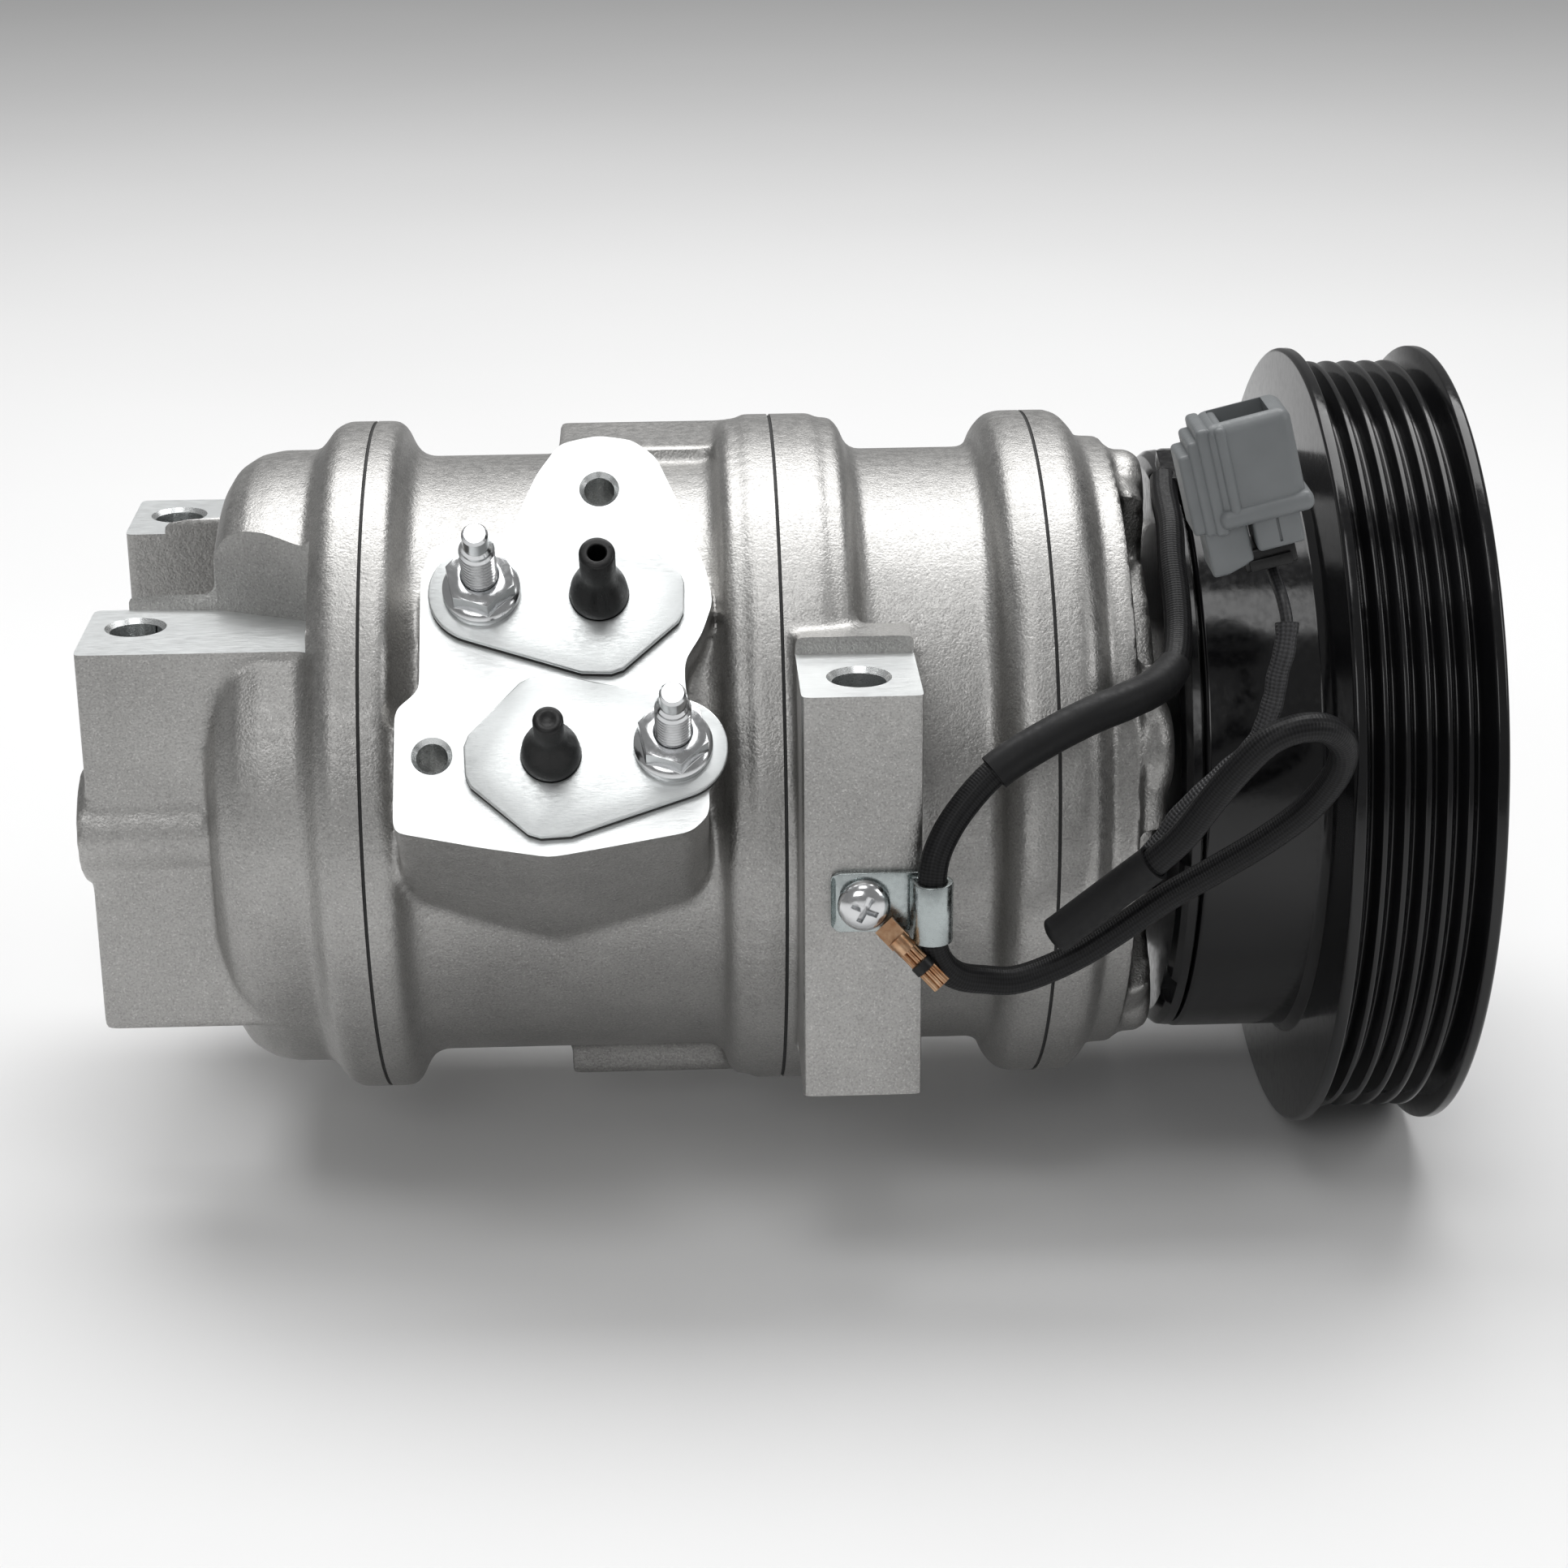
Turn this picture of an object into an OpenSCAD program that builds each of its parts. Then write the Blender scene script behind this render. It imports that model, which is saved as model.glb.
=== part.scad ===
// Swash-plate refrigerant compressor with an electromagnetic pulley clutch on its shaft.
// Origin: middle of the belt grooves on the shaft axis. +X runs along the shaft to the pulley end,
// +Y points away from the port side, +Z points up along the three mounting bolt holes.

/* [Pulley] */
// radius over the pulley flanges
pulley_r = 71.5; // [65:0.5:80]
// radius over the belt rib crests
crest_r = 69; // [62:0.5:76]
// distance between belt grooves
groove_pitch = 3.56; // [3:0.01:5]
// number of belt grooves
groove_count = 6; // [4:1:8]
// depth of one belt groove
groove_depth = 2.9; // [2:0.1:3.5]
// width over both pulley flanges
pulley_w = 26; // [24:0.5:32]
// outside radius of the rotor drum
drum_r = 53.5; // [52:0.5:56]
// air gap between the rotor and the armature
air_gap = 0.6; // [0.4:0.05:0.9]
// thickness of the armature plate
armature_t = 4; // [3:0.5:6]

/* [Body] */
// radius of the joint flanges
flange_r = 61; // [58:0.5:64]
// radius of the cylinder block barrels
barrel_r = 54.5; // [53:0.5:56]
// radius of the two end covers
cover_r = 56; // [54:0.5:58]
// position of the front cover joint
front_seam = -60.5; // [-64:0.5:-58]
// position of the joint between the two blocks
middle_seam = -106.5; // [-110:0.5:-103]
// position of the rear cover joint
rear_seam = -177.5; // [-180:0.5:-175]
// position of the rear cover's flat end
rear_end = -205; // [-208:0.5:-202]

/* [Pistons and swash plate] */
// radius of the circle through the cylinder axes
piston_pcr = 34.5; // [33:0.5:36]
// cylinder bore radius
bore_r = 14.5; // [13:0.1:15]
// tilt of the swash plate
tilt = 18; // [12:1:20]
// thickness of the swash plate
plate_t = 8; // [6:0.5:10]
// radius of the swash plate
plate_r = 42.4; // [41:0.2:42.6]
// number of double-ended pistons and of cylinder pairs
pistons = 5; // [5:1:5]
// half length of a piston
piston_half = 46.5; // [44:0.5:47]

/* [Mounting holes] */
// radius of the mounting bolt holes
mount_hole_r = 4.5; // [4:0.1:6]
// height of the machined boss tops above the shaft
boss_top = 35; // [30:0.5:40]
// distance from the shaft axis to the port face
port_face = 62; // [60:0.5:66]

/* [Lead wire] */
// outside diameter of the lead
lead_d = 4.8; // [4:0.2:6]
// outside diameter of the protective sleeves
sleeve_d = 6.4; // [6:0.2:8]
// outside diameter of the thin wire into the connector
thin_d = 2; // [1.6:0.1:3]
// outside diameter of the braided sleeve on the thin wire
braid_d = 3.8; // [3.4:0.1:5]

/* [Hidden] */

$fn = 64;
fine = 128;
gasket_half = 0.3;
pocket_a = 40;
swash_x = (front_seam + rear_seam) / 2;
chamber_half = 22;
chamber_r = 50;
bolt_pcr = 46.5;
bolt_r = 3;
bolt_turn = 90;
shoe_r = 7.8;
shoe_clear = 0.06;
socket_r = 7.88;
piston_r = bore_r - 0.08;
shaft_r = 8;
shaft_front = 17;
drum_rear = -34.6;
friction_face = 9;
half_w = pulley_w / 2;
seat_r = 26;
nose_r = 17.5;
nose_end = 7;
boss_front = -74;
screw_at = [-94.5, -0.4];
cast = [0.74, 0.74, 0.72];
machined = [0.9, 0.9, 0.9];
steel = [0.6, 0.61, 0.63];
zinc = [0.82, 0.83, 0.84];
black_paint = [0.05, 0.05, 0.055];
rubber = [0.08, 0.08, 0.08];
grey_plastic = [0.55, 0.57, 0.58];
copper = [0.72, 0.4, 0.2];

// a solid of revolution about the shaft axis, from [radius, x] points
module turn(p, a = 360) rotate([0, 90, 0]) rotate_extrude(angle = a, $fn = fine) polygon(p);
// a plain ring about the shaft axis
module ring(r_in, r_out, x0, x1) turn([[r_in, x0], [r_out, x0], [r_out, x1], [r_in, x1]]);
// a rod along X starting at x0
module rod(r, x0, x1) translate([x0, 0, 0]) rotate([0, 90, 0]) cylinder(r = r, h = x1 - x0);
// places children on the circle of the pistons, or of the bolts between them
function bore_angle(i) = bolt_turn + (i - 0.5) * 360 / pistons;
module at_angle(a, r) rotate([a, 0, 0]) translate([0, r, 0]) children();
module at_bores(r = piston_pcr) for (i = [1 : pistons]) at_angle(bore_angle(i), r) children();
module at_bolts() for (i = [1 : pistons]) at_angle(bore_angle(i) - 180 / pistons, bolt_pcr) children();
// the frame of the port face: X along the shaft, Y up the face, Z out of the face
module on_port_face(x, y, z = 0) rotate([45, 0, 0]) translate([x, y, port_face + z]) children();

// ---- castings ----
front_face_x = front_seam - gasket_half;
rear_face_x = rear_seam + gasket_half;

module cover_cavities(x0, x1) {
  ring(19, 32, x0, x1);
  difference() {
    ring(36, 50.5, x0, x1);
    at_bolts() rod(6.5, x0 - 1, x1 + 1);
  }
}
module front_cover() color(cast) difference() {
  union() {
    turn([[0, front_seam + gasket_half], [flange_r, front_seam + gasket_half], [flange_r, -55.5],
      [60.2, -53.6], [58.2, -52],
      [cover_r, -50.8], [cover_r, -46.6], [cover_r - 0.6, -46], [53, -46], [53, -43.6], [51.4, -41.4],
      [49, -40.8], [22, -40.8], [22, -35.2], [20, -35.2], [20, -15.2], [nose_r, -15.2],
      [nose_r, nose_end], [0, nose_end]]);
    at_bolts() bolt_boss();
  }
  // pockets between the bolt bosses
  for (i = [1 : pistons]) rotate([90 + bore_angle(i) - pocket_a / 2, 0, 0])
    turn([[38, -45.6], [54, -45.6], [54, -40], [38, -40]], pocket_a);
  ring(0, 51, -61, front_seam + 3.6);
  cover_cavities(front_seam + 3.5, -48);
  rod(shaft_r + 0.6, -62, 8);
  ring(0, 12.5, -30, -8);
  ring(0, 13.2, -8.01, -6.4);
  ring(0, 12.5, -6.5, 8);
  at_bolts() { rod(bolt_r + 0.3, -62, -38); rod(5.4, -46, -38); }
  // grooves for the two retaining rings
  ring(18.6, 21, -34.9, -33.2);
  ring(16.4, 18.6, 5.2, 6.8);
}
module bolt_boss() rotate([0, 90, 0]) rotate_extrude()
  polygon([[0, -50], [8.5, -50], [8.5, -42], [7, -39.8], [0, -39.8]]);

module boss_box(x0, x1, y0, y1, z0, z1, c = 1.5) {
  translate([x0, y0 + c, z0]) cube([x1 - x0, y1 - y0 - 2 * c, z1 - z0]);
  translate([x0 + c, y0, z0 + c]) cube([x1 - x0 - 2 * c, y1 - y0, z1 - z0 - 2 * c]);
  for (x = [x0 + c, x1 - c]) for (y = [y0 + c, y1 - c]) translate([x, y, z0 + c])
    cylinder(r = c, h = z1 - z0 - c, $fn = 24);
}
module mount_hole(x, y, z0, z1) {
  translate([x, y, z0 - 1]) cylinder(r = mount_hole_r, h = z1 - z0 + 2);
  translate([x, y, z1 - 0.8]) cylinder(r1 = mount_hole_r, r2 = mount_hole_r + 0.9, h = 0.9);
}
module rear_cover() color(cast) difference() {
  union() {
    turn([[0, rear_seam - gasket_half], [0, rear_end + 1], [48.5, rear_end + 1],
      [52.5, rear_end + 2.5], [55, rear_end + 5.5],
      [cover_r, rear_end + 9], [cover_r, -187.2], [57.6, -185.8], [59.9, -184.6], [flange_r, -182.6],
      [flange_r, rear_seam - gasket_half]]);
    boss_box(-225.5, -186.5, -45, -20, -34, boss_top);
    boss_box(-227, -190, 27, 50.5, -34, boss_top);
    translate([-227.3, -36.5, 1.5]) rotate([0, 90, 0]) cylinder(r = 10, h = 30);
    translate([-228.6, 39, 1.5]) rotate([0, 90, 0]) cylinder(r = 10, h = 30);
  }
  // flats milled level with the boss tops
  translate([0, 0, boss_top]) linear_extrude(30) {
    polygon([[-230, -60], [-186.5, -60], [-186.5, -29], [-204, -21], [-230, -19]]);
    polygon([[-230, 60], [-190, 60], [-190, 34], [-204, 28], [-230, 26]]);
  }
  ring(0, 51, rear_seam - 3.6, rear_seam);
  cover_cavities(-194, rear_seam - 3.5);
  at_bolts() rod(bolt_r, -192, -177);
  mount_hole(-217, -30, -34, boss_top);
  mount_hole(-218.5, 40, -34, boss_top);
}

// outline of the port face, in the frame of on_port_face
module port_outline() polygon([[-137, 30.5], [-131, 29.5], [-127, 26], [-123, 16], [-119, 4], [-118, -2],
  [-120, -8], [-123, -13], [-123, -18], [-119.5, -36], [-119.5, -41], [-122.5, -44], [-136.5, -46.5],
  [-145.5, -48], [-157, -46], [-171, -43], [-171, -21], [-167, -17.5], [-167, 3],
  [-165.5, 9.5], [-161, 10.5], [-152, 12], [-147.5, 23], [-143.5, 29]]);
port_u = [-137, -1.2];
port_l = [-145.2, -30.6];
port_ru = 8;
port_rl = 6.5;
stud_u = [-156.6, -0.3];
stud_l = [-125.2, -29.6];
thread_u = [-136.8, 20];
thread_l = [-164.8, -29.5];

module block_bores(x0, x1) {
  at_bores() rod(bore_r, x0, x1);
  at_bolts() rod(bolt_r + 0.3, x0, x1);
}
module rear_cylinder_block() color(cast) difference() {
  union() {
    turn([[0, rear_face_x], [flange_r, rear_face_x], [flange_r, -173.6], [59.6, -172], [57.4, -171.2],
      [55.4, -170], [barrel_r, -168], [barrel_r, -118.4], [55.4, -116.8], [58.4, -115.8], [60.2, -114.4],
      [60.2, -112.2], [61.1, -111.6], [61.1, middle_seam - gasket_half], [0, middle_seam - gasket_half]]);
    on_port_face(0, 0, -42) linear_extrude(42) port_outline();
    translate([-144.5, 0, 30]) cube([144.5 - 107, 20, 27.3]);
    translate([-145, -14, -60]) cube([145 - 107, 28, 30]);
  }
  block_bores(-180, -100);
  ring(0, chamber_r, swash_x - chamber_half, -100);
  rod(12, -180, -100);
  on_port_face(port_u.x, port_u.y, -18) cylinder(r = port_ru, h = 20);
  on_port_face(port_l.x, port_l.y, -12) cylinder(r = port_rl, h = 14);
  for (p = [thread_u, thread_l]) on_port_face(p.x, p.y, 0) {
    translate([0, 0, -11]) cylinder(r = 2.6, h = 12, $fn = 32);
    translate([0, 0, -0.6]) cylinder(r1 = 2.6, r2 = 3.3, h = 0.7, $fn = 32);
  }
  for (p = [stud_u, stud_l]) on_port_face(p.x, p.y, -9) cylinder(r = 3, h = 10, $fn = 32);
}
module front_cylinder_block() color(cast) difference() {
  union() {
    turn([[0, middle_seam + gasket_half], [61.1, middle_seam + gasket_half], [61.1, -98.6], [60.2, -98],
      [60.2, -95.2], [58.6, -93.8],
      [55.6, -92.8], [barrel_r, -91.4], [barrel_r, -71], [55.4, -69.6], [58.2, -68.4], [60.2, -66.6],
      [flange_r, -64.4], [flange_r, front_face_x], [0, front_face_x]]);
    boss_box(-104.5, -84.7, boss_front, -44, -36, boss_top);
    translate([-106.2, 0, 30]) cube([11, 20, 27.3]);
    translate([-106.2, -14, -60]) cube([3.2, 28, 30]);
  }
  block_bores(-107, -60);
  ring(0, chamber_r, -107, swash_x + chamber_half);
  rod(12, -107, -60);
  mount_hole(-94.6, -64, -36, boss_top);
  translate([screw_at.x, boss_front - 1, screw_at.y]) rotate([-90, 0, 0]) cylinder(r = 2, h = 5.2, $fn = 32);
}

// ---- seals, valve plates and bolts ----
module gaskets() color([0.12, 0.12, 0.12]) {
  ring(51.4, 60.7, front_face_x, front_seam + gasket_half);
  ring(50.3, 60.8, middle_seam - gasket_half, middle_seam + gasket_half);
  ring(51.4, 60.7, rear_seam - gasket_half, rear_face_x);
}
module plate_with_ports(x0, x1, r, ports) difference() {
  ring(12, r, x0, x1);
  at_bolts() rod(bolt_r + 0.3, x0 - 1, x1 + 1);
  for (p = ports) at_bores(p) rod(3, x0 - 1, x1 + 1);
}
module valve_plates() color(steel) {
  plate_with_ports(front_face_x + 0.4, front_face_x + 3.4, 50.6, [28, 41]);
  plate_with_ports(rear_face_x - 3.4, rear_face_x - 0.4, 50.6, [28, 41]);
}
module reed_sheet(x0, x1, port_r, reed_r) difference() {
  ring(12, 50.6, x0, x1);
  at_bolts() rod(bolt_r + 0.3, x0 - 1, x1 + 1);
  at_bores(0) {
    translate([0, port_r, 0]) rod(3, x0 - 1, x1 + 1);
    // the slot that frees one reed
    translate([x0 - 1, reed_r - 8, 4.4]) cube([x1 - x0 + 2, 16, 1]);
    translate([x0 - 1, reed_r - 8, -5.4]) cube([x1 - x0 + 2, 16, 1]);
  }
}
module suction_reeds() color(steel) {
  reed_sheet(front_face_x, front_face_x + 0.4, 28, 40);
  reed_sheet(rear_face_x - 0.4, rear_face_x, 28, 40);
}
module discharge_reeds() color(steel) {
  reed_sheet(front_face_x + 3.4, front_face_x + 3.8, 41, 26);
  reed_sheet(rear_face_x - 3.8, rear_face_x - 3.4, 41, 26);
}
module through_bolts() color(steel) at_bolts() difference() {
  union() { rod(bolt_r, -190, -46); rod(5, -46, -40.6); }
  translate([-43.5, 0, 0]) rotate([0, 90, 0]) cylinder(r = 2.9, h = 4, $fn = 6);
}

// ---- port caps ----
// outline that wraps a large and a small circle with straight sides
function teardrop(p, r, q, s, n, m) =
  let (d = norm(q - p), f = atan2(q.y - p.y, q.x - p.x), b = acos((r - s) / d))
  concat([for (i = [0 : n]) p + r * [cos(f + b + (360 - 2 * b) * i / n), sin(f + b + (360 - 2 * b) * i / n)]],
    [for (i = [0 : m]) q + s * [cos(f - b + 2 * b * i / m), sin(f - b + 2 * b * i / m)]]);
cap_t = 1.8;
cap_end_r = 9;
// outline of the wide end of a cap, with its round end at distance d
function cap_outline(d) = concat([[2.5, 14.4], [-2.5, 14.4], [-4.5, 13.6], [-13.4, 4.6], [-14.2, 2.6]],
  [[-14.2, -2.6], [-13.4, -4.6], [-4.5, -13.6], [-2.5, -14.4], [2.5, -14.4]],
  [for (s = [-1, 1]) [d + cap_end_r * cos(73), s * cap_end_r * sin(73)]]);
module port_cap(p, q) color(machined) difference() {
  on_port_face(p.x, p.y, 0.02) rotate([0, 0, atan2(q.y - p.y, q.x - p.x)]) linear_extrude(cap_t) {
    polygon(cap_outline(norm(q - p)));
    translate([norm(q - p), 0]) circle(r = cap_end_r);
  }
  on_port_face(p.x, p.y, -1) cylinder(r = 5, h = 4, $fn = 32);
  on_port_face(q.x, q.y, -1) cylinder(r = 3.2, h = 4, $fn = 32);
}
module port_cap_upper() port_cap(port_u, stud_u);
module port_cap_lower() port_cap(port_l, stud_l);
// a rubber plug whose foot fills the port under the cap
module port_plug(p, foot_r, tip_r, hole_r, tip_h) color(rubber) on_port_face(p.x, p.y) difference() {
  rotate_extrude($fn = 48) polygon([[0, -9], [foot_r, -9], [foot_r, -0.2], [4.85, -0.2], [4.85, 2.5],
    [4.6, 4.2], [tip_r + 0.5, 7.2], [tip_r, 8.4],
    [tip_r, tip_h - 0.5], [tip_r - 0.5, tip_h], [0, tip_h]]);
  if (hole_r > 0) translate([0, 0, tip_h - 8]) cylinder(r = hole_r, h = 9, $fn = 24);
}
module port_plug_upper() port_plug(port_u, port_ru - 0.2, 3, 1.55, 16.6);
module port_plug_lower() port_plug(port_l, port_rl - 0.2, 2.5, 0, 15.4);
module port_studs() color(zinc) for (p = [stud_u, stud_l]) on_port_face(p.x, p.y) {
  translate([0, 0, -8.5]) cylinder(r = 3, h = 26.5, $fn = 32);
  translate([0, 0, 18]) cylinder(r1 = 3, r2 = 2.2, h = 0.8, $fn = 32);
  translate([0, 0, 18.8]) cylinder(r = 2.2, h = 3.4, $fn = 32);
}
module port_nuts() color(zinc) for (p = [stud_u, stud_l]) on_port_face(p.x, p.y, cap_t + 0.04) difference() {
  union() {
    cylinder(r = 6.2, h = 1.2, $fn = 48);
    translate([0, 0, 1.2]) cylinder(r = 5.7, h = 5, $fn = 6);
  }
  translate([0, 0, -1]) cylinder(r = 3, h = 9, $fn = 32);
}

// ---- clutch ----
land = 2.1;
groove_top = 1.33;
groove_bottom = 0.28;
function groove_x(k) = (k - (groove_count - 1) / 2) * groove_pitch;
module pulley_rotor() color(black_paint) difference() {
  turn(concat(
    [[24.5, -18], [31, -18], [31, 4], [49.5, 4], [49.5, drum_rear], [drum_r - 0.6, drum_rear],
      [drum_r, drum_rear + 0.6], [drum_r, -half_w], [pulley_r - 0.6, -half_w], [pulley_r, -half_w + 0.6],
      [pulley_r, land - half_w]],
    [for (k = [0 : groove_count - 1]) each [[crest_r, groove_x(k) - groove_top],
      [crest_r - groove_depth, groove_x(k) - groove_bottom],
      [crest_r - groove_depth, groove_x(k) + groove_bottom],
      [crest_r, groove_x(k) + groove_top]]],
    [[pulley_r, half_w - land], [pulley_r, half_w - 0.6], [pulley_r - 0.6, half_w], [63.5, half_w],
      [61.5, -8], [58.5, -8], [57, friction_face], [25, friction_face], [25, 5.6], [seat_r, 5.1],
      [seat_r, -15], [24.5, -15]]));
  // slots that steer the coil's magnetic field
  for (i = [0 : 5]) rotate([i * 60, 0, 0]) turn([[37, 3], [39.4, 3], [39.4, 10], [37, 10]], 46);
  for (i = [0 : 5]) rotate([i * 60 + 30, 0, 0]) turn([[45, 3], [47.4, 3], [47.4, 10], [45, 10]], 48);
}
module coil_shell() color(black_paint) difference() {
  union() {
    turn([[22, -38.4], [50.4, -38.4], [52.2, -37.8], [53.1, -36.7], [53.3, -35.2], [48.8, -35.2],
      [48.8, 3.2], [46.5, 3.2], [46.5, -33], [34, -33], [34, 3.2], [31.8, 3.2], [31.8, -35.2], [22, -35.2]]);
    // the block the lead comes out of
    rotate([104, 0, 0]) translate([-38.4, 50, -5]) cube([3.2, 8, 10]);
  }
  // open windows round the edge of the plate
  for (i = [0 : 8]) rotate([i * 40 + 20, 0, 0]) translate([-39, 49.4, -4.5]) cube([2.2, 6, 9]);
}
module coil_winding() color(copper) ring(34.2, 46.3, -32.8, 1);
module split_ring(r_in, r_out, x0, x1) difference() {
  ring(r_in, r_out, x0, x1);
  translate([x0 - 1, -2, 0]) cube([x1 - x0 + 2, 4, r_out + 1]);
}
module snap_rings() color(steel) {
  split_ring(18.8, 24, -34.8, -33.3);
  split_ring(16.6, 20, 5.3, 6.7);
  split_ring(9.6, 13, -7.9, -6.6);
}
row_x = [-10, 0];
ball_pcr = 21.75;
ball_r = 2.8;
race_groove_r = 2.95;
module bearing_inner_race() color(steel) difference() {
  ring(nose_r, 20.3, -15, 5);
  for (x = row_x) translate([x, 0, 0]) rotate([0, 90, 0]) rotate_extrude($fn = fine)
    translate([ball_pcr, 0]) circle(race_groove_r, $fn = 48);
}
module bearing_outer_race() color(steel) difference() {
  ring(23.2, seat_r, -15, 5);
  for (x = row_x) translate([x, 0, 0]) rotate([0, 90, 0]) rotate_extrude($fn = fine)
    translate([ball_pcr, 0]) circle(race_groove_r, $fn = 48);
}
module bearing_balls() color(machined) for (x = row_x) for (i = [0 : 11])
  rotate([i * 30 + (x < -5 ? 15 : 0), 0, 0]) translate([x, ball_pcr, 0]) sphere(r = ball_r, $fn = 32);
module bearing_seals() color(rubber) { ring(20.5, 23.1, -14.6, -13.6); ring(20.5, 23.1, 3.6, 4.6); }

arm_x = friction_face + air_gap;
strap_x = arm_x + armature_t + 0.02;
flange_x = 16;
module armature_plate() color(steel) difference() {
  ring(31, 52.5, arm_x, arm_x + armature_t);
  for (i = [0 : 2]) rotate([i * 120 + 14, 0, 0]) turn([[40.8, 5], [42.4, 5], [42.4, 20], [40.8, 20]], 92);
}
function strap_end(i, r, a) = r * [cos(i * 120 + a), sin(i * 120 + a)];
module strap_frame() rotate([90, 0, 90]) children();
module leaf_springs() color(steel) for (i = [0 : 2]) {
  a = strap_end(i, 46, 0);
  b = strap_end(i, 22.5, -58);
  difference() {
    translate([strap_x, 0, 0]) strap_frame() linear_extrude(0.8) polygon(teardrop(a, 5, b, 5, 12, 12));
    translate([strap_x - 1, b.x, b.y]) rotate([0, 90, 0]) cylinder(r = 2, h = 3, $fn = 32);
  }
  translate([strap_x + 0.8, a.x, a.y]) rotate([0, 90, 0]) cylinder(r = 3, h = 1, $fn = 32);
}
module clutch_hub() color(steel) difference() {
  union() {
    rod(11.5, 7.6, 19);
    rod(28, flange_x, flange_x + 2.5);
    for (i = [0 : 2]) {
      b = strap_end(i, 22.5, -58);
      translate([0, b.x, b.y]) {
        rod(3.4, strap_x + 0.86, flange_x + 0.5);
        rod(1.6, strap_x - 1, flange_x);
        rod(3, strap_x - 1.6, strap_x - 0.66);
        rod(3, flange_x + 2, flange_x + 3.4);
      }
    }
  }
  rod(7, 7, 20);
}
module clutch_bolt() color(zinc) {
  rod(3, 4, 19.1);
  rod(9.5, 19.02, 20.4);
  translate([20.4, 0, 0]) rotate([0, 90, 0]) cylinder(r = 5.8, h = 4, $fn = 6);
}

// ---- shaft, swash plate and pistons ----
module drive_shaft() color(steel) difference() {
  union() { rod(shaft_r, -168, -4.5); rod(7, -4.6, shaft_front); }
  rod(3, 3.9, shaft_front + 1);
}
module shaft_seal() color(rubber) ring(shaft_r + 0.05, 12.5, -24, -10);
module shaft_bearings() color(steel) {
  ring(shaft_r + 0.05, 12, -166, -148);
  ring(shaft_r + 0.05, 12, -90, -72);
}
module thrust_bearings() color(steel) for (s = [-1, 1])
  ring(9, 19, swash_x + s * 19.75 - 2.18, swash_x + s * 19.75 + 2.18);
// the swash plate's own frame: Z along the normal of the tilted plate
module tilted() translate([swash_x, 0, 0]) rotate([0, 90 - tilt, 0]) children();
module swash_hub() color(steel) difference() {
  union() {
    rod(13, swash_x - 17.5, swash_x + 17.5);
    tilted() translate([0, 0, -6.6]) cylinder(r = 17, h = 13.2, $fn = 96);
    tilted() for (z = [plate_t / 2 + 0.06, -6.6])
      translate([0, 0, z]) cylinder(r = 18.6, h = 6.6 - plate_t / 2 - 0.06, $fn = 96);
  }
  rod(shaft_r, swash_x - 18, swash_x + 18);
}
module swash_plate() color([0.7, 0.66, 0.58]) tilted() translate([0, 0, -plate_t / 2]) difference() {
  cylinder(r = plate_r, h = plate_t, $fn = 96);
  translate([0, 0, -1]) cylinder(r = 17.06, h = plate_t + 2, $fn = 96);
}
function ball_centre(i) = let (y = piston_pcr * cos(bore_angle(i)), z = piston_pcr * sin(bore_angle(i)))
  [swash_x - z * tan(tilt), y, z];
notch_half = plate_t / 2 / cos(tilt) + 0.36;
notch_slope = tan(tilt);
module piston(i) color([0.78, 0.78, 0.76]) let (c = ball_centre(i)) difference() {
  translate([0, c.y, c.z]) rod(piston_r, c.x - piston_half, c.x + piston_half);
  // the notch that straddles the plate
  intersection() {
    translate(c) rotate([0, 90, 0]) rotate_extrude() polygon([[0, -notch_half],
      [16, -notch_half - 16 * notch_slope], [16, notch_half + 16 * notch_slope], [0, notch_half]]);
    rod(plate_r + 0.9, swash_x - 40, swash_x + 40);
  }
  translate(c) sphere(r = socket_r, $fn = 64);
  // ring grooves at both heads
  for (s = [-1, 1]) for (d = [4, 8]) translate([c.x + s * (piston_half - d), c.y, c.z])
    rotate([0, 90, 0]) rotate_extrude() translate([13.4, -0.6]) square([3, 1.2]);
}
module shoe(i, s) color([0.8, 0.78, 0.7]) translate(ball_centre(i)) rotate([0, 90 - tilt, 0]) intersection() {
  sphere(r = shoe_r, $fn = 64);
  translate([0, 0, s > 0 ? plate_t / 2 + shoe_clear : -plate_t / 2 - shoe_clear - 9]) cylinder(r = 9, h = 9);
}
module piston_1() piston(1);
module piston_2() piston(2);
module piston_3() piston(3);
module piston_4() piston(4);
module piston_5() piston(5);
module shoe_front_1() shoe(1, 1);
module shoe_front_2() shoe(2, 1);
module shoe_front_3() shoe(3, 1);
module shoe_front_4() shoe(4, 1);
module shoe_front_5() shoe(5, 1);
module shoe_rear_1() shoe(1, -1);
module shoe_rear_2() shoe(2, -1);
module shoe_rear_3() shoe(3, -1);
module shoe_rear_4() shoe(4, -1);
module shoe_rear_5() shoe(5, -1);

// ---- wiring ----
// a closed tube through route points p with radius r[i] at each, of n sides
function unit(v) = v / norm(v);
function heading(p, i) = unit(p[min(i + 1, len(p) - 1)] - p[max(i - 1, 0)]);
module tube(p, r, n = 10) {
  side = [for (i = [0 : len(p) - 1]) unit(cross(heading(p, i), [0, 1, 0]))];
  up = [for (i = [0 : len(p) - 1]) cross(heading(p, i), side[i])];
  pts = [for (i = [0 : len(p) - 1]) for (k = [0 : n - 1])
    p[i] + r * (side[i] * cos(360 * k / n) + up[i] * sin(360 * k / n))];
  last = (len(p) - 1) * n;
  polyhedron(pts, concat(
    [for (i = [0 : len(p) - 2]) for (k = [0 : n - 1])
      let (a = i * n + k, b = i * n + (k + 1) % n) [a, b, b + n, a + n]],
    [[for (k = [n - 1 : -1 : 0]) k], [for (k = [0 : n - 1]) last + k]]), convexity = 8);
}
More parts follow.
